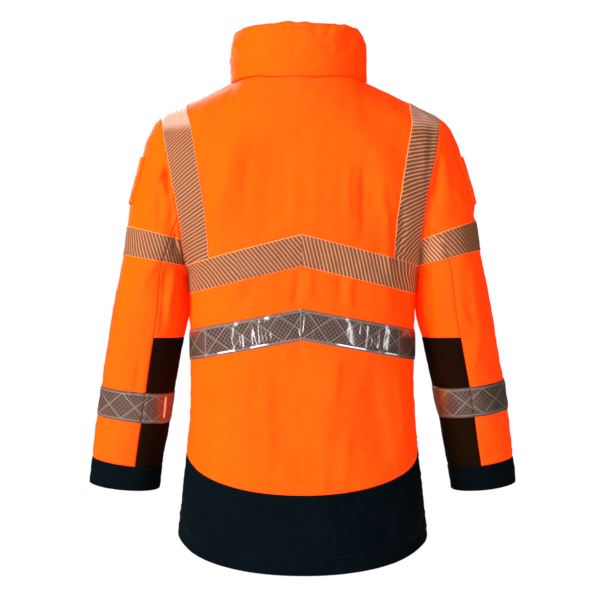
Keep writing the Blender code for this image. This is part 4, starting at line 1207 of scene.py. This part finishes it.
def glossy_tape(colours):
    """Clear PVC over a mesh of prisms, welded along its borders and in crossing lines."""
    finish = Finish("glossy prismatic tape")
    u, v = finish.flat()
    place = finish.place()
    inner = (v - GLOSSY_BORDER) / (TAPE_WIDTH - 2 * GLOSSY_BORDER)
    half = 0.55 * WELD_WIDTH / WELD_PERIOD
    rising, falling = (u / WELD_PERIOD - inner).fraction(), (u / WELD_PERIOD + inner).fraction()
    lines = 1 - (0.5 - abs(rising - 0.5)).step(half, half * 2.2)
    lines = lines.maximum(1 - (0.5 - abs(falling - 0.5)).step(half, half * 2.2))
    from_edge = v.minimum(TAPE_WIDTH - v)
    inside = from_edge.step(GLOSSY_BORDER - 0.3, GLOSSY_BORDER + 0.3)
    borders = 1 - abs(from_edge - GLOSSY_BORDER).step(0.4, 0.9)
    rim = 1 - from_edge.step(0.5, 1.2)

    side = finish.parts(place)[0] - float(sway(LEVELS["centre"][LOW_TAPE_ROWS[1]]))
    far = abs(side)
    arm = far.step(ARM_TAPE_X, ARM_TAPE_X + 1)
    ends = 1 - abs(far - END_WELD).step(0.4, 1.1)
    beyond = far.step(END_WELD, END_WELD + 1.0) * (1 - arm)
    mitre = 1 - far.step(0.7, 1.2)
    beside = 1 - abs(side - 2.3).step(0.5, 1.2)
    weld = (lines * inside).maximum(borders).maximum(ends).maximum(beside)

    rows = v / DOT_ROW_PITCH
    across = ((u / DOT_PITCH + (rows.floor() * 0.5).fraction()).fraction() - 0.5) * DOT_PITCH
    up = (rows.fraction() - 0.5) * DOT_ROW_PITCH
    dot = 1 - (across * across + up * up).power(0.5).step(1.5, 2.4)

    grain = finish.noise(place, 2.2, 2.0)
    patchy = finish.noise(place, 26.0, 2.0)
    mesh = finish.mixed(patchy, shade(colours.prism_grey, 0.8), shade(colours.prism_grey, 1.2))
    dots = finish.mixed(grain, shade(colours.prism_dot, 0.7), shade(colours.prism_dot, 1.5))
    prisms = finish.mixed(dot * inside * 0.9, mesh, dots)
    tinted = finish.mixed((beyond * 0.8).maximum(arm * 0.4), prisms, opaque(colours.prism_end))
    arm_inside = arm * (1 - far.step(235.0, 246.0))
    tinted = finish.mixed(arm_inside * 0.8, tinted, opaque(colours.prism_inner))
    edged = finish.mixed((rim * 0.8).maximum(mitre), tinted, opaque(colours.prism_dot))
    welded = finish.mixed(weld * (grain * 0.6 + 0.6), edged, opaque(colours.prism_weld))

    # Painted glare: pale patches along the lower border weld of the trunk's glossy tape.
    low_border = 1 - abs(v - GLOSSY_BORDER).step(0.8, 1.6)
    border_glare = finish.noise(place, 30.0, 1.0).step(0.42, 0.5) * low_border
    border_glare = border_glare * far.step(52.0, 60.0) * (1 - far.step(END_WELD - 6, END_WELD))
    buckled = 1 - abs(side - SHOULDER_TIP[0] + inner * 5.0).step(0.7, 1.7)
    buckled = buckled * v.step(8.0, 12.0) * (46.0 - v).step(0.0, 4.0)
    # The painted border glare and the slanted pale line on the sleeve's tape take one pale colour.
    base = finish.mixed(border_glare.maximum(buckled) * 0.85, welded, opaque(colours.prism_glare_and_whitening))
    dents = finish.bump(finish.noise(place, 18.0, 1.0), 0.0016, 0.16)
    finish.set(Base_Color=base, Roughness=0.4, Specular_IOR_Level=0.15)
    finish.set(Normal=finish.bump(weld, 0.0004, -0.6, dents))
    finish.set(Coat_Weight=0.85 - arm * 0.7, Coat_Roughness=0.09, Coat_IOR=1.5)
    return finish.material


# ---------------------------------------------------------------- settings a user would change


def length_property(name, description, default):
    return bpy.props.FloatProperty(name=name, description=description, default=default, unit="LENGTH")


def colour_property(name, description, default):
    return bpy.props.FloatVectorProperty(
        name=name, description=description, default=default, subtype="COLOR", size=3, min=0.0, max=1.0
    )


class JacketSizes(bpy.types.PropertyGroup):
    """Sizes of the jacket's cloth, tape and sewing"""

    cloth_thickness: length_property("Cloth thickness", "Thickness of the shell cloth", 0.0012)
    tape_thickness: length_property("Tape thickness", "Thickness of the reflective tapes", 0.0007)
    crease_strength: bpy.props.FloatProperty(
        name="Crease strength", description="How deep the cloth is creased", default=1.4, min=0.0
    )
    stripe_pitch: length_property("Stripe pitch", "Distance between the striped tape's bars", 0.0057)
    stripe_slant: bpy.props.FloatProperty(
        name="Stripe slant",
        description="Angle between the bars and the tape's length",
        default=math.radians(116.0),
        unit="ROTATION",
    )
    stitch_length: length_property("Stitch length", "Length of one sewn stitch", 0.0028)
    stitch_pitch: length_property("Stitch pitch", "Distance from one stitch to the next", 0.004)
    tooth_pitch: length_property("Tooth pitch", "Distance between the zip's teeth on one side", 0.0045)


class JacketColours(bpy.types.PropertyGroup):
    """Colours of the jacket's cloth, tape and thread"""

    shell: colour_property("Shell", "Hi-vis orange shell cloth", (1.0, 0.058, 0.0008))
    band: colour_property("Bands", "Navy cloth of the hem and cuffs", (0.0010, 0.0026, 0.0038))
    panel: colour_property("Sleeve panels", "Dark cloth of the lower sleeves", (0.0065, 0.0022, 0.0006))
    stripe_dark: colour_property("Stripe bars", "Bars of the striped tape", (0.105, 0.038, 0.0145))
    stripe_pale: colour_property("Stripe gaps", "What shows between the bars", (0.27, 0.108, 0.056))
    # Painted glare: the paler colour of the striped tape over the shoulders.
    stripe_top_glare: colour_property("Stripe tops", "Striped tape over the shoulders", (0.42, 0.22, 0.17))
    stripe_edge: colour_property("Stripe edges", "Thin edges of the striped tape", (0.85, 0.19, 0.045))
    prism_grey: colour_property("Prism mesh", "Grey mesh of the glossy tape", (0.08, 0.05, 0.041))
    prism_dot: colour_property("Prism dots", "Dark dots of the glossy tape", (0.02, 0.007, 0.006))
    prism_weld: colour_property("Welds", "Welded lines of the glossy tape", (0.15, 0.118, 0.106))
    # Painted glare on the glossy tape's lower border, and the pale line on the sleeve's tape.
    prism_glare_and_whitening: colour_property("Stretched welds", "Whitened stretches of a weld", (0.72, 0.7, 0.66))
    prism_inner: colour_property("Inner ends", "Tape inside the forearm", (0.17, 0.052, 0.012))
    prism_end: colour_property("Tape ends", "Glossy tape beyond its end weld", (0.062, 0.03, 0.019))
    thread: colour_property("Thread", "Orange sewing thread", (0.95, 0.09, 0.004))


# ---------------------------------------------------------------- operators


class JacketOperator(bpy.types.Operator):
    """One group of the jacket's pieces"""

    bl_options = {"REGISTER", "UNDO"}

    def execute(self, context):
        if not self.build(context.scene.jacket_sizes):
            raise RuntimeError(f"{self.bl_label} made nothing")
        return {"FINISHED"}


class JACKET_OT_shell(JacketOperator):
    """Back, fronts and hem bands as creased shells of cloth"""

    bl_idname = "jacket.shell"
    bl_label = "Trunk cloth"

    def build(self, sizes):
        made = []
        for part, slot, look in (("body", "orange_shell", "shell"), ("hem", "navy_shell", "navy")):
            sheets = {"back": back_sheet(part)}
            sheets.update({f"front_{name}": front_sheet(part, side) for name, side in SIDES.items()})
            for name, sheet in sheets.items():
                node = name if part == "body" else f"hem_{name}"
                grids = [sheet_grid(sheet)]
                piece = cloth_object(f"{node}_cloth", grids, materials()[look], sizes.cloth_thickness)
                declare(piece, grids, widest(sheet), [node], slot)
                made.append(piece)
        return made


class JACKET_OT_sleeves(JacketOperator):
    """Top and under sleeves, dark panels and cuffs"""

    bl_idname = "jacket.sleeves"
    bl_label = "Sleeves"

    def build(self, sizes):
        made = []
        for name, side in SIDES.items():
            under = [under_ring(side, "armpit", "panel_top")[1]]
            under += [under_wedge(side, facing)[1] for facing in PLACES.values()]
            panel = under_ring(side, "panel_top", "cuff_seam")[1]
            pieces = {
                f"sleeve_{name}_top": ([top_sleeve(side)[2]], "orange_shell", "shell"),
                f"sleeve_{name}_under": (under, "orange_shell", "shell"),
                f"sleeve_{name}_panel": ([panel], "dark_shell", "dark"),
                f"cuff_{name}": ([cuff_sheet(side)[1]], "navy_shell", "navy"),
            }
            for node, (sheets, slot, look) in pieces.items():
                grids = [sheet_grid(sheet) for sheet in sheets]
                piece = cloth_object(f"{node}_cloth", grids, materials()[look], sizes.cloth_thickness)
                across, down = widest(sheets[0])
                if len(sheets) > 1:
                    down += widest(sheets[1])[1]
                declare(piece, grids, (across, down), [node], slot)
                made.append(piece)
        return made


class JACKET_OT_patches(JacketOperator):
    """The small flap on each upper sleeve, with its rounded edge"""

    bl_idname = "jacket.patches"
    bl_label = "Sleeve patches"

    def build(self, sizes):
        made = []
        for name, side in SIDES.items():
            sheet, block = patch_block(side)
            down, along = arcs(sheet.points[block], 0), arcs(sheet.points[block], 1)
            edge = np.minimum.reduce([down, down[-1:] - down, along, along[:, -1:] - along])
            groove = 0.25 * np.exp(-(((edge - PATCH_STITCH_INSET) / 0.9) ** 2))
            rise = PATCH_RISE * np.sqrt(smooth(-0.4, 3.0, edge)) - groove
            points = sheet.block(*block) + sheet.normals[block] * (TAPE_LIFT + rise)[..., None]
            grids = [(points, grid_uv(points), sheet.normals[block])]
            node = f"sleeve_patch_{name}"
            piece = cloth_object(f"{node}_cloth", grids, materials()["shell"], sizes.cloth_thickness)
            size = (arcs(points, 1)[:, -1].max(), arcs(points, 0)[-1].max())
            declare(piece, grids, size, [node], "orange_shell")
            made.append(piece)
        return made


def patch_block(side):
    """The top sleeve's sheet, and the rows and columns of it that lie under the patch."""
    rows, marks, sheet = top_sleeve(side)
    rows_under = span_of(rows, SLEEVE_ROW["patch_top"], SLEEVE_ROW["patch_bottom"])
    return sheet, (rows_under, span_of(marks, -1, 1))


def tape_piece(node, blocks, kind, sizes):
    """A tape from blocks of (points, uv, normals), each a part of the cloth that it lies on."""
    piece = cloth_object(f"{node}_band", blocks, materials()[kind], sizes.tape_thickness, outward=True)
    across = sum(arcs(points, 1)[:, -1].max() for points, _, _ in blocks)
    down = max(arcs(points, 0)[-1].max() for points, _, _ in blocks)
    declare(piece, blocks, (across, down), [node], TAPE_SLOTS[kind])
    return piece


class JACKET_OT_striped_tapes(JacketOperator):
    """The striped tapes: the high chevron, over the shoulders and round the upper arms"""

    bl_idname = "jacket.striped_tapes"
    bl_label = "Striped tapes"

    def build(self, sizes):
        made = []
        rows = span_of(BODY_ROWS, *HIGH_TAPE_ROWS)
        strip_rows = span_of(BODY_ROWS, HIGH_TAPE_TOP_ROW, TOP_ROW)
        strip = slice(index_of(BODY_COLUMNS, STRIP_COLUMN), None)
        for name, side in SIDES.items():
            for place, facing in PLACES.items():
                sheet, out = half_trunk(facing, side)
                points, normals = tape_base(sheet, rows, out)
                uv = tape_uv(points, 0.0, -facing * side, False, SEEN_SPREAD)
                node = f"tape_{place}_upper_{name}"
                made.append(tape_piece(node, [(points, uv, normals)], "striped", sizes))
                points, normals = (values[:, strip] for values in tape_base(sheet, strip_rows, out))
                node = f"tape_shoulder_{name}_{place}"
                block = (points, self.strip_uv(points, facing * side), normals)
                made.append(tape_piece(node, [block], "striped", sizes))
            made.append(self.sleeve_band(name, side, sizes))
        return made

    @staticmethod
    def strip_uv(points, direction):
        """The shoulder tape's length runs up the rows and its width out across the columns."""
        uv = tape_uv(np.swapaxes(points, 0, 1), 0.0, 1, direction < 0)
        return np.swapaxes(uv, 0, 1)

    @staticmethod
    def sleeve_band(name, side, sizes):
        """The tape round the upper arm, over the top sleeve and on to the under sleeve at both seams."""
        ends_of_tape = SLEEVE_ROW["tape_top"], SLEEVE_ROW["tape_bottom"]
        rows, marks, sheet = top_sleeve(side)
        points, normals = tape_base(sheet, span_of(rows, *ends_of_tape))
        walked = arcs(points, 1)[-1]
        start = -walked[len(marks) // 2]
        blocks = [(points, tape_uv(points, start, side, True), normals)]
        for facing, end in ((1, walked[-1] + start), (-1, start)):
            rows, wedge = under_wedge(side, facing)
            points, normals = tape_base(wedge, span_of(rows, *ends_of_tape))
            blocks.append((points, tape_uv(points, abs(end), side * facing, True), normals))
        return tape_piece(f"tape_sleeve_{name}_upper", blocks, "striped", sizes)


class JACKET_OT_glossy_tapes(JacketOperator):
    """The glossy prismatic tapes: the low chevron and round the forearms"""

    bl_idname = "jacket.glossy_tapes"
    bl_label = "Glossy tapes"

    def build(self, sizes):
        made = []
        rows = span_of(BODY_ROWS, *LOW_TAPE_ROWS)
        ends_of_tape = SLEEVE_ROW["low_tape_top"], SLEEVE_ROW["low_tape_bottom"]
        for name, side in SIDES.items():
            for place, facing in PLACES.items():
                sheet, out = half_trunk(facing, side)
                direction = -facing * side
                begin = HALF_WELD_START if direction < 0 else 0.0
                points, normals = tape_base(sheet, rows, out)
                block = self.waved(points, normals, begin, direction, False, direction * begin)
                made.append(tape_piece(f"tape_{place}_lower_{name}", [block], "glossy", sizes))
            centre = SLEEVE_WELD_START if side > 0 else None
            places, marks, sheet = top_sleeve(side)
            points, normals = tape_base(sheet, span_of(places, *ends_of_tape))
            walked = arcs(points, 1)[-1]
            begin = side * SLEEVE_WELD_START - walked[len(marks) // 2]
            block = self.waved(points, normals, begin, side, True, centre)
            made.append(tape_piece(f"tape_sleeve_{name}_lower_top", [block], "glossy", sizes))
            places, ring = under_ring(side, "panel_top", "cuff_seam")
            points, normals = tape_base(ring, span_of(places, *ends_of_tape))
            block = self.waved(points, normals, walked[-1] + begin, side, True, centre)
            made.append(tape_piece(f"tape_sleeve_{name}_lower_under", [block], "glossy", sizes))
        return made

    @staticmethod
    def waved(points, normals, start, direction, flip, centre):
        """A finer block of tape whose stiff film stands off the cloth in soft waves and flat facets.

        The facets are counted from the place "centre" along the tape, and None leaves them out.
        """
        points, normals = finer(points, 2), unit(finer(normals, 2))
        uv = tape_uv(points, start, direction, flip, SEEN_SPREAD)
        v = uv[..., 1]
        height = 0.05 * ripple(points * (1.0, 1.0, 0.45), 30, 21)
        for place, half, slope, bottom, top in GLOSSY_FACETS if centre is not None else ():
            out = uv[..., 0] - centre
            across = np.abs(out) - abs(place) - 1.2 * np.sin(v / 11 + place)
            across = np.where(out * place > 0, across, 1e3)
            reach = smooth(bottom - 4, bottom + 2, v) * smooth(top + 4, top - 2, v)
            height = height + slope * across * reach * np.exp(-((across / (1.5 * half)) ** 4))
        edge = smooth(0.0, FILM_EDGE, v) * smooth(TAPE_WIDTH, TAPE_WIDTH - FILM_EDGE, v)
        lift = np.maximum(0.0, FILM_LIFT + height) * edge
        return points + normals * lift[..., None], uv, normals


class JACKET_OT_collar(JacketOperator):
    """The stuffed stand collar, quilted and puckered"""

    bl_idname = "jacket.collar"
    bl_label = "Collar"

    def build(self, sizes):
        points, uv = collar_grid()
        mesh = bmesh.new()
        add_grid(mesh, points, uv)
        bmesh.ops.remove_doubles(mesh, verts=mesh.verts, dist=2e-5)
        rims = [edge for edge in mesh.edges if len(edge.link_faces) == 1]
        bmesh.ops.holes_fill(mesh, edges=rims, sides=0)
        bmesh.ops.triangulate(mesh, faces=[face for face in mesh.faces if len(face.verts) > 4])
        bmesh.ops.recalc_face_normals(mesh, faces=mesh.faces)
        piece = new_object("collar_stuffed", mesh)
        piece.data.shade_smooth()
        piece.data.materials.append(materials()["shell"])
        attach(piece, GARMENT)
        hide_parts("collar")
        return [piece]


def collar_top_z(angle):
    """The height of the collar's top round the neck."""
    turn = np.radians(angle)
    middle = (COLLAR_TOP["back"] + COLLAR_TOP["front"]) / 2
    swing = (COLLAR_TOP["back"] - COLLAR_TOP["front"]) / 2
    return middle + swing * np.cos(turn) + (COLLAR_TOP["side"] - middle) * np.sin(turn) ** 2


def collar_loop():
    """The collar's section all round: part of its height, half thicknesses below the top, distance out."""
    table = np.array(COLLAR_LOOP)
    count = len(table)
    loop = []
    for i, steps in enumerate(COLLAR_LOOP_STEPS):
        before, first, second, after = (table[(i + k) % count] for k in (-1, 0, 1, 2))
        for k in range(steps):
            if i in (0, count - 1):
                loop.append(mix(first, second, k / steps))
            else:
                loop.append(cubic(first, second, (second - before) / 2, (after - first) / 2, k / steps))
    return np.array(loop + [table[0]])


def away_from_neck(points):
    """Level directions straight out from the oval of the neck."""
    return unit(stack(points[:, 0] / NECK_HALF_WIDTH**2, points[:, 1] / NECK_HALF_DEPTH**2, 0.0))


@functools.lru_cache(None)
def collar_grid():
    """Rows round the collar's thickness and columns round the neck, closed over the first row again."""
    gap = math.degrees(math.asin(ZIP_HALF / NECK_HALF_WIDTH))
    turned = np.linspace(-(180 - gap), 180 - gap, 221)
    angle, side = np.abs(turned), np.where(turned < 0, -1.0, 1.0)
    base = neck_point(angle)
    height = collar_top_z(angle) - base[:, 2] - SEAM_GAP
    loop = collar_loop()
    up, below, out = loop[:, 0:1], loop[:, 1:2], loop[:, 2:3]
    points = base[None] + away_from_neck(base)[None] * out[..., None]
    points[..., 2] = base[:, 2] + SEAM_GAP + height * up - COLLAR_THICK / 2 * below
    points[..., 0] = np.maximum(points[..., 0], 0.5 * ZIP_HALF * (angle > 90))
    points[:, 0, 0] = points[:, -1, 0] = ZIP_HALF + SEAM_GAP / 2
    points[..., 0] *= side

    normals = unit(np.cross(np.gradient(points, axis=1), np.gradient(points, axis=0)))
    middle = points.mean(axis=0, keepdims=True)
    sign = np.sign(((points - middle) * normals).sum(-1, keepdims=True))
    normals = normals * np.where(sign[2:3, :1] < 0, -1.0, 1.0)

    raised = np.clip((points[..., 2] - base[:, 2]) / height, 0.0, 1.0)
    loose = smooth(0.04, 0.22, raised)
    rise = loose * (0.7 * ripple(points, 42, 11) + 0.35 * ripple(points, 17, 12))
    rise += 0.9 * smooth(0.62, 0.95, raised) * ripple(points * (1, 1, 0.5), 22, 14)
    x, z = points[..., 0], points[..., 2]
    back, front = smooth(0.0, 0.4, normals[..., 1]), smooth(0.0, 0.4, -normals[..., 1])
    rise += loose * back * creased(x, z, COLLAR_CREASES)
    rise += loose * front * creased(-x, z + 24, COLLAR_CREASES)
    rise -= COLLAR_SAG * smooth(0.72, 1.0, raised)
    along = arcs(points, 1)
    ends = smooth(0, 14, np.minimum(along, along[:, -1:] - along))
    points = points + normals * (rise * ends)[..., None]
    points[-1] = points[0]
    return points, grid_uv(points)


def zip_line(side):
    """Even points on a front's edge beside the zip, from the hem to the collar's top, and its length."""
    hem, body = front_sheet("hem", side), front_sheet("body", side)
    collar, _ = collar_grid()
    outer = sum(COLLAR_LOOP_STEPS[: OUTER_COLLAR_STEPS - 1]) + 1
    column = -1 if side > 0 else 0
    line = np.concatenate([hem.points[:-1, 0], body.points[:, 0], collar[1:outer, column]])
    line[:, 0] = 0.0
    walked = arcs(line[None], 1)[0]
    even = np.linspace(0, walked[-1], int(walked[-1] / 3))
    return np.stack([np.interp(even, walked, line[:, i]) for i in range(3)], axis=-1), walked[-1]


class JACKET_OT_zip(JacketOperator):
    """The zip's woven tapes, its moulded teeth, and metal on the slider and pull tab"""

    bl_idname = "jacket.zip"
    bl_label = "Zip"

    def build(self, sizes):
        made = []
        for name, side in SIDES.items():
            line, length = zip_line(side)
            across = np.linspace(1.2, ZIP_HALF - SEAM_GAP / 2, 4)
            points = line[:, None] + np.zeros((1, len(across), 1))
            points[..., 0] = side * across + sway(points[..., 2])
            points[..., 1] += 0.5
            normals = np.zeros_like(points)
            normals[..., 1] = -1.0
            grids = [(points, grid_uv(points), normals)]
            node = f"zip_tape_{name}"
            piece = cloth_object(f"{node}_woven", grids, materials()["zip"], sizes.cloth_thickness)
            declare(piece, grids, (across[-1] - across[0], length), [node], "zip_tape")
            made += [piece, self.teeth(name, side, line, length, sizes)]
        for node in ("zip_slider", "zip_pull"):
            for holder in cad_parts[node].material_slots:
                holder.material = materials()["metal"]
        return made

    @staticmethod
    def teeth(name, side, line, length, sizes):
        """One small moulded block for each tooth, set half a pitch off from the other side's."""
        mesh = bmesh.new()
        pitch = sizes.tooth_pitch / METRE
        walked = np.linspace(0, length, len(line))
        size = Matrix.Diagonal((*[value * METRE for value in TOOTH_SIZE], 1.0))
        for k in range(int((length - 6) / pitch)):
            at = 3 + pitch * (k + (0.5 if side > 0 else 0.0))
            y, z = (np.interp(at, walked, line[:, i]) for i in (1, 2))
            next_y, next_z = (np.interp(at + 2, walked, line[:, i]) for i in (1, 2))
            turn = Matrix.Rotation(-math.atan2(next_y - y, next_z - z), 4, "X")
            x = side * TOOTH_X + float(sway(z))
            place = Matrix.Translation(Vector((x, y - 0.5, z)) * METRE) @ turn
            bmesh.ops.create_cube(mesh, size=1.0, matrix=place @ size)
        settings = {"segments": 1, "affect": "EDGES", "profile": 0.5, "material": -1}
        bmesh.ops.bevel(mesh, geom=mesh.edges[:], offset=0.3 * METRE, **settings)
        piece = new_object(f"zip_teeth_{name}", mesh)
        piece.data.materials.append(materials()["teeth"])
        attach(piece, GARMENT)
        return piece


def line_beside(sheet, edge, distance, lift=0.1):
    """Points and normals on a sheet's creased surface, all at one distance in from one of its edges."""
    points, normals, walked = sheet.creased, sheet.normals, sheet.down
    if edge.endswith("column"):
        along = np.abs(sheet.along - sheet.along[:, :1])
        points, normals, walked = (np.swapaxes(values, 0, 1) for values in (points, normals, along))
    if edge.startswith("last"):
        points, normals, walked = points[::-1], normals[::-1], (walked[-1:] - walked)[::-1]
    line, ways = [], []
    for k in range(points.shape[1]):
        if walked[-1, k] >= distance + 3:
            line.append([np.interp(distance, walked[:, k], points[:, k, i]) for i in range(3)])
            ways.append([np.interp(distance, walked[:, k], normals[:, k, i]) for i in range(3)])
    ways = unit(np.array(ways))
    return np.array(line) + ways * lift, ways


def stitch(mesh, line, ways, sizes, thick=0.38):
    """A row of stitches along a line: one small rounded thread for each."""
    walked = arcs(line[None], 1)[0]
    pitch, length = sizes.stitch_pitch / METRE, sizes.stitch_length / METRE
    size = Matrix.Diagonal((length / 2 * METRE, thick * METRE, thick * METRE, 1.0))
    for at in np.arange(pitch, walked[-1] - pitch, pitch):
        here, ahead, way = (
            np.array([np.interp(spot, walked, values[:, i]) for i in range(3)])
            for spot, values in ((at, line), (at + 1, line), (at, ways))
        )
        run = Vector(unit(ahead - here))
        up = (Vector(way) - run * run.dot(Vector(way))).normalized()
        turn = Matrix((run, run.cross(up) * -1, up)).transposed().to_4x4()
        place = Matrix.Translation(Vector(here) * METRE) @ turn
        bmesh.ops.create_icosphere(mesh, subdivisions=1, radius=1.0, matrix=place @ size)


class JACKET_OT_stitching(JacketOperator):
    """Rows of stitches along the seams, hems, tapes, patches and zip"""

    bl_idname = "jacket.stitching"
    bl_label = "Stitching"

    def build(self, sizes):
        threads = {name: bmesh.new() for name in STITCH_SLOTS}
        orange, navy, grey = threads.values()
        bodies = [back_sheet("body")] + [front_sheet("body", side) for side in SIDES.values()]
        hems = [back_sheet("hem")] + [front_sheet("hem", side) for side in SIDES.values()]
        for sheet in bodies:
            stitch(orange, *line_beside(sheet, "first_row", 3.2), sizes)
        for sheet in hems:
            stitch(navy, *line_beside(sheet, "last_row", 3.0), sizes)
            stitch(navy, *line_beside(sheet, "first_row", 26.0), sizes)
        for side in SIDES.values():
            stitch(orange, *line_beside(front_sheet("body", side), "first_column", 5.0), sizes)
            _, _, top = top_sleeve(side)
            _, cuff = cuff_sheet(side)
            stitch(orange, *line_beside(top, "last_column", 3.0), sizes)
            stitch(navy, *line_beside(top, "last_column", 0.7), sizes)
            stitch(navy, *line_beside(cuff, "last_row", 24.0), sizes)
            stitch(navy, *line_beside(cuff, "first_row", 3.0), sizes)
            self.patch(orange, side, sizes)
        collar = collar_grid()[0][COLLAR_STITCH_ROW]
        collar = collar[(collar[:, 1] > 0) & (collar[:, 0] > 2)]
        away = away_from_neck(collar)
        stitch(orange, collar + away * 0.1, away, sizes)
        block = span_of(BODY_ROWS, *LOW_TAPE_ROWS)
        for sheet in bodies:
            for row, shift in ((block.start, 1), (block.stop - 1, -1)):
                line = sheet.creased[row] + sheet.normals[row] * 1.3
                inward = unit(sheet.creased[row + shift] - sheet.creased[row])
                stitch(grey, line + inward * 2.0, sheet.normals[row], sizes, 0.3)
        made = []
        for name, mesh in threads.items():
            piece = new_object(f"stitches_{name}", mesh)
            piece.data.shade_smooth()
            piece.data.materials.append(materials()[f"{name}_thread"])
            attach(piece, GARMENT)
            made.append(piece)
        return made

    @staticmethod
    def patch(mesh, side, sizes):
        """Stitches all round the patch, inside its edge."""
        sheet, block = patch_block(side)
        normals = sheet.normals[block]
        points = sheet.block(*block) + normals * 3.2
        ends = []
        for walked in (arcs(points, 0)[:, 0], arcs(points, 1)[0]):
            places = PATCH_STITCH_INSET, walked[-1] - PATCH_STITCH_INSET
            ends.append([index_of(walked, place) for place in places])
        (r0, r1), (c0, c1) = ends
        loop = [(r0, c) for c in range(c0, c1)] + [(r, c1) for r in range(r0, r1)]
        loop += [(r1, c) for c in range(c1, c0, -1)] + [(r, c0) for r in range(r1, r0 - 1, -1)]
        line, ways = (np.array([values[spot] for spot in loop]) for values in (points, normals))
        stitch(mesh, line, ways, sizes)


class JACKET_OT_stage(JacketOperator):
    """Pale floor, studio light and the camera behind the jacket"""

    bl_idname = "jacket.stage"
    bl_label = "Stage"

    def build(self, sizes):
        mesh = bmesh.new()
        bmesh.ops.create_grid(mesh, x_segments=1, y_segments=1, size=1.0)
        bmesh.ops.transform(mesh, matrix=Matrix.Diagonal((2.2, 2.2, 1.0, 1.0)), verts=mesh.verts)
        bmesh.ops.translate(mesh, vec=(0.0, 0.75, -1.3), verts=mesh.verts)
        floor = new_object("floor", mesh)
        pale = Finish("pale floor")
        grain = pale.noise(pale.place(), 300.0, 2.0)
        pale.set(Base_Color=pale.mixed(grain, (0.84, 0.84, 0.84, 1), (0.88, 0.88, 0.88, 1)), Roughness=0.8)
        pale.set(Emission_Color=(1.0, 1.0, 1.0, 1.0), Emission_Strength=0.25)
        floor.data.materials.append(pale.material)
        self.surroundings()
        self.light("key", (1.6, 1.35, 0.3), 0.7, 0.7, 98.0, glare=False)
        self.light("top", (0.1, 0.7, 1.6), 0.9, 0.7, 16.0)
        self.light("fill", (-1.4, 2.2, 1.0), 1.2, 1.2, 6.0)
        self.light("front", (0.8, -2.2, 0.9), 1.6, 1.6, 95.0)
        self.light("strip left", (0.8, 2.3, -0.1), 0.11, 1.3, 15.0)
        self.light("strip far left", (1.45, 1.6, -0.2), 0.05, 1.2, 6.0)
        self.light("strip right", (-1.2, 2.1, 0.0), 0.06, 1.2, 7.0)
        self.light("strip far right", (-1.7, 0.9, -0.1), 0.05, 1.0, 4.0)
        self.camera()
        return [floor]

    @staticmethod
    def surroundings():
        """A white backdrop for the camera and dimmer grey light from all round."""
        scene = bpy.context.scene
        scene.view_settings.view_transform = "Standard"
        scene.view_settings.look = "None"
        world = bpy.data.worlds.new("studio")
        world.use_nodes = True
        scene.world = world
        tree = world.node_tree
        tree.nodes.clear()
        rays = tree.nodes.new("ShaderNodeLightPath")
        seen, lit = tree.nodes.new("ShaderNodeBackground"), tree.nodes.new("ShaderNodeBackground")
        seen.inputs["Color"].default_value = (1.0, 1.0, 1.0, 1.0)
        lit.inputs["Color"].default_value = (1.0, 1.0, 1.0, 1.0)
        lit.inputs["Strength"].default_value = 0.13
        both, out = tree.nodes.new("ShaderNodeMixShader"), tree.nodes.new("ShaderNodeOutputWorld")
        tree.links.new(rays.outputs["Is Camera Ray"], both.inputs[0])
        tree.links.new(lit.outputs[0], both.inputs[1])
        tree.links.new(seen.outputs[0], both.inputs[2])
        tree.links.new(both.outputs[0], out.inputs["Surface"])

    @staticmethod
    def light(name, place, width, height, power, target=(0.0, 0.0, -0.36), glare=True):
        lamp = bpy.data.lights.new(name, "AREA")
        lamp.shape = "RECTANGLE"
        lamp.size, lamp.size_y = width, height
        lamp.energy = power
        made = bpy.data.objects.new(name, lamp)
        made.location = place
        made.rotation_euler = (Vector(target) - Vector(place)).to_track_quat("-Z", "Y").to_euler()
        made.visible_camera = False
        made.visible_glossy = glare
        bpy.context.scene.collection.objects.link(made)

    @staticmethod
    def camera():
        """Level behind the jacket, 2.2 m back; 1310 pixels of focal length on a 600 pixel image."""
        lens = bpy.data.cameras.new("camera")
        lens.sensor_width = 36.0
        lens.lens = 78.6
        made = bpy.data.objects.new("camera", lens)
        made.location = (-0.0022, 2.2, -0.363)
        made.rotation_euler = (math.pi / 2, 0.0, math.pi)
        bpy.context.scene.collection.objects.link(made)
        bpy.context.scene.camera = made


OPERATORS = (
    JACKET_OT_shell,
    JACKET_OT_sleeves,
    JACKET_OT_patches,
    JACKET_OT_striped_tapes,
    JACKET_OT_glossy_tapes,
    JACKET_OT_collar,
    JACKET_OT_zip,
    JACKET_OT_stitching,
    JACKET_OT_stage,
)


class VIEW3D_PT_jacket(bpy.types.Panel):
    """The jacket's pieces and settings"""

    bl_idname = "VIEW3D_PT_jacket"
    bl_label = "Work jacket"
    bl_space_type = "VIEW_3D"
    bl_region_type = "UI"
    bl_category = "Jacket"

    def draw(self, context):
        for group in (context.scene.jacket_sizes, context.scene.jacket_colours):
            box = self.layout.box()
            for key in group.__annotations__:
                box.prop(group, key)
        for operator in OPERATORS:
            self.layout.operator(operator.bl_idname)


CLASSES = (JacketSizes, JacketColours, *OPERATORS, VIEW3D_PT_jacket)


def register():
    for item in CLASSES:
        bpy.utils.register_class(item)
    bpy.types.Scene.jacket_sizes = bpy.props.PointerProperty(type=JacketSizes)
    bpy.types.Scene.jacket_colours = bpy.props.PointerProperty(type=JacketColours)


def unregister():
    del bpy.types.Scene.jacket_sizes
    del bpy.types.Scene.jacket_colours
    for item in reversed(CLASSES):
        bpy.utils.unregister_class(item)


def main():
    register()
    for operator in OPERATORS:
        group, name = operator.bl_idname.split(".")
        getattr(getattr(bpy.ops, group), name)()


if __name__ == "__main__":
    main()
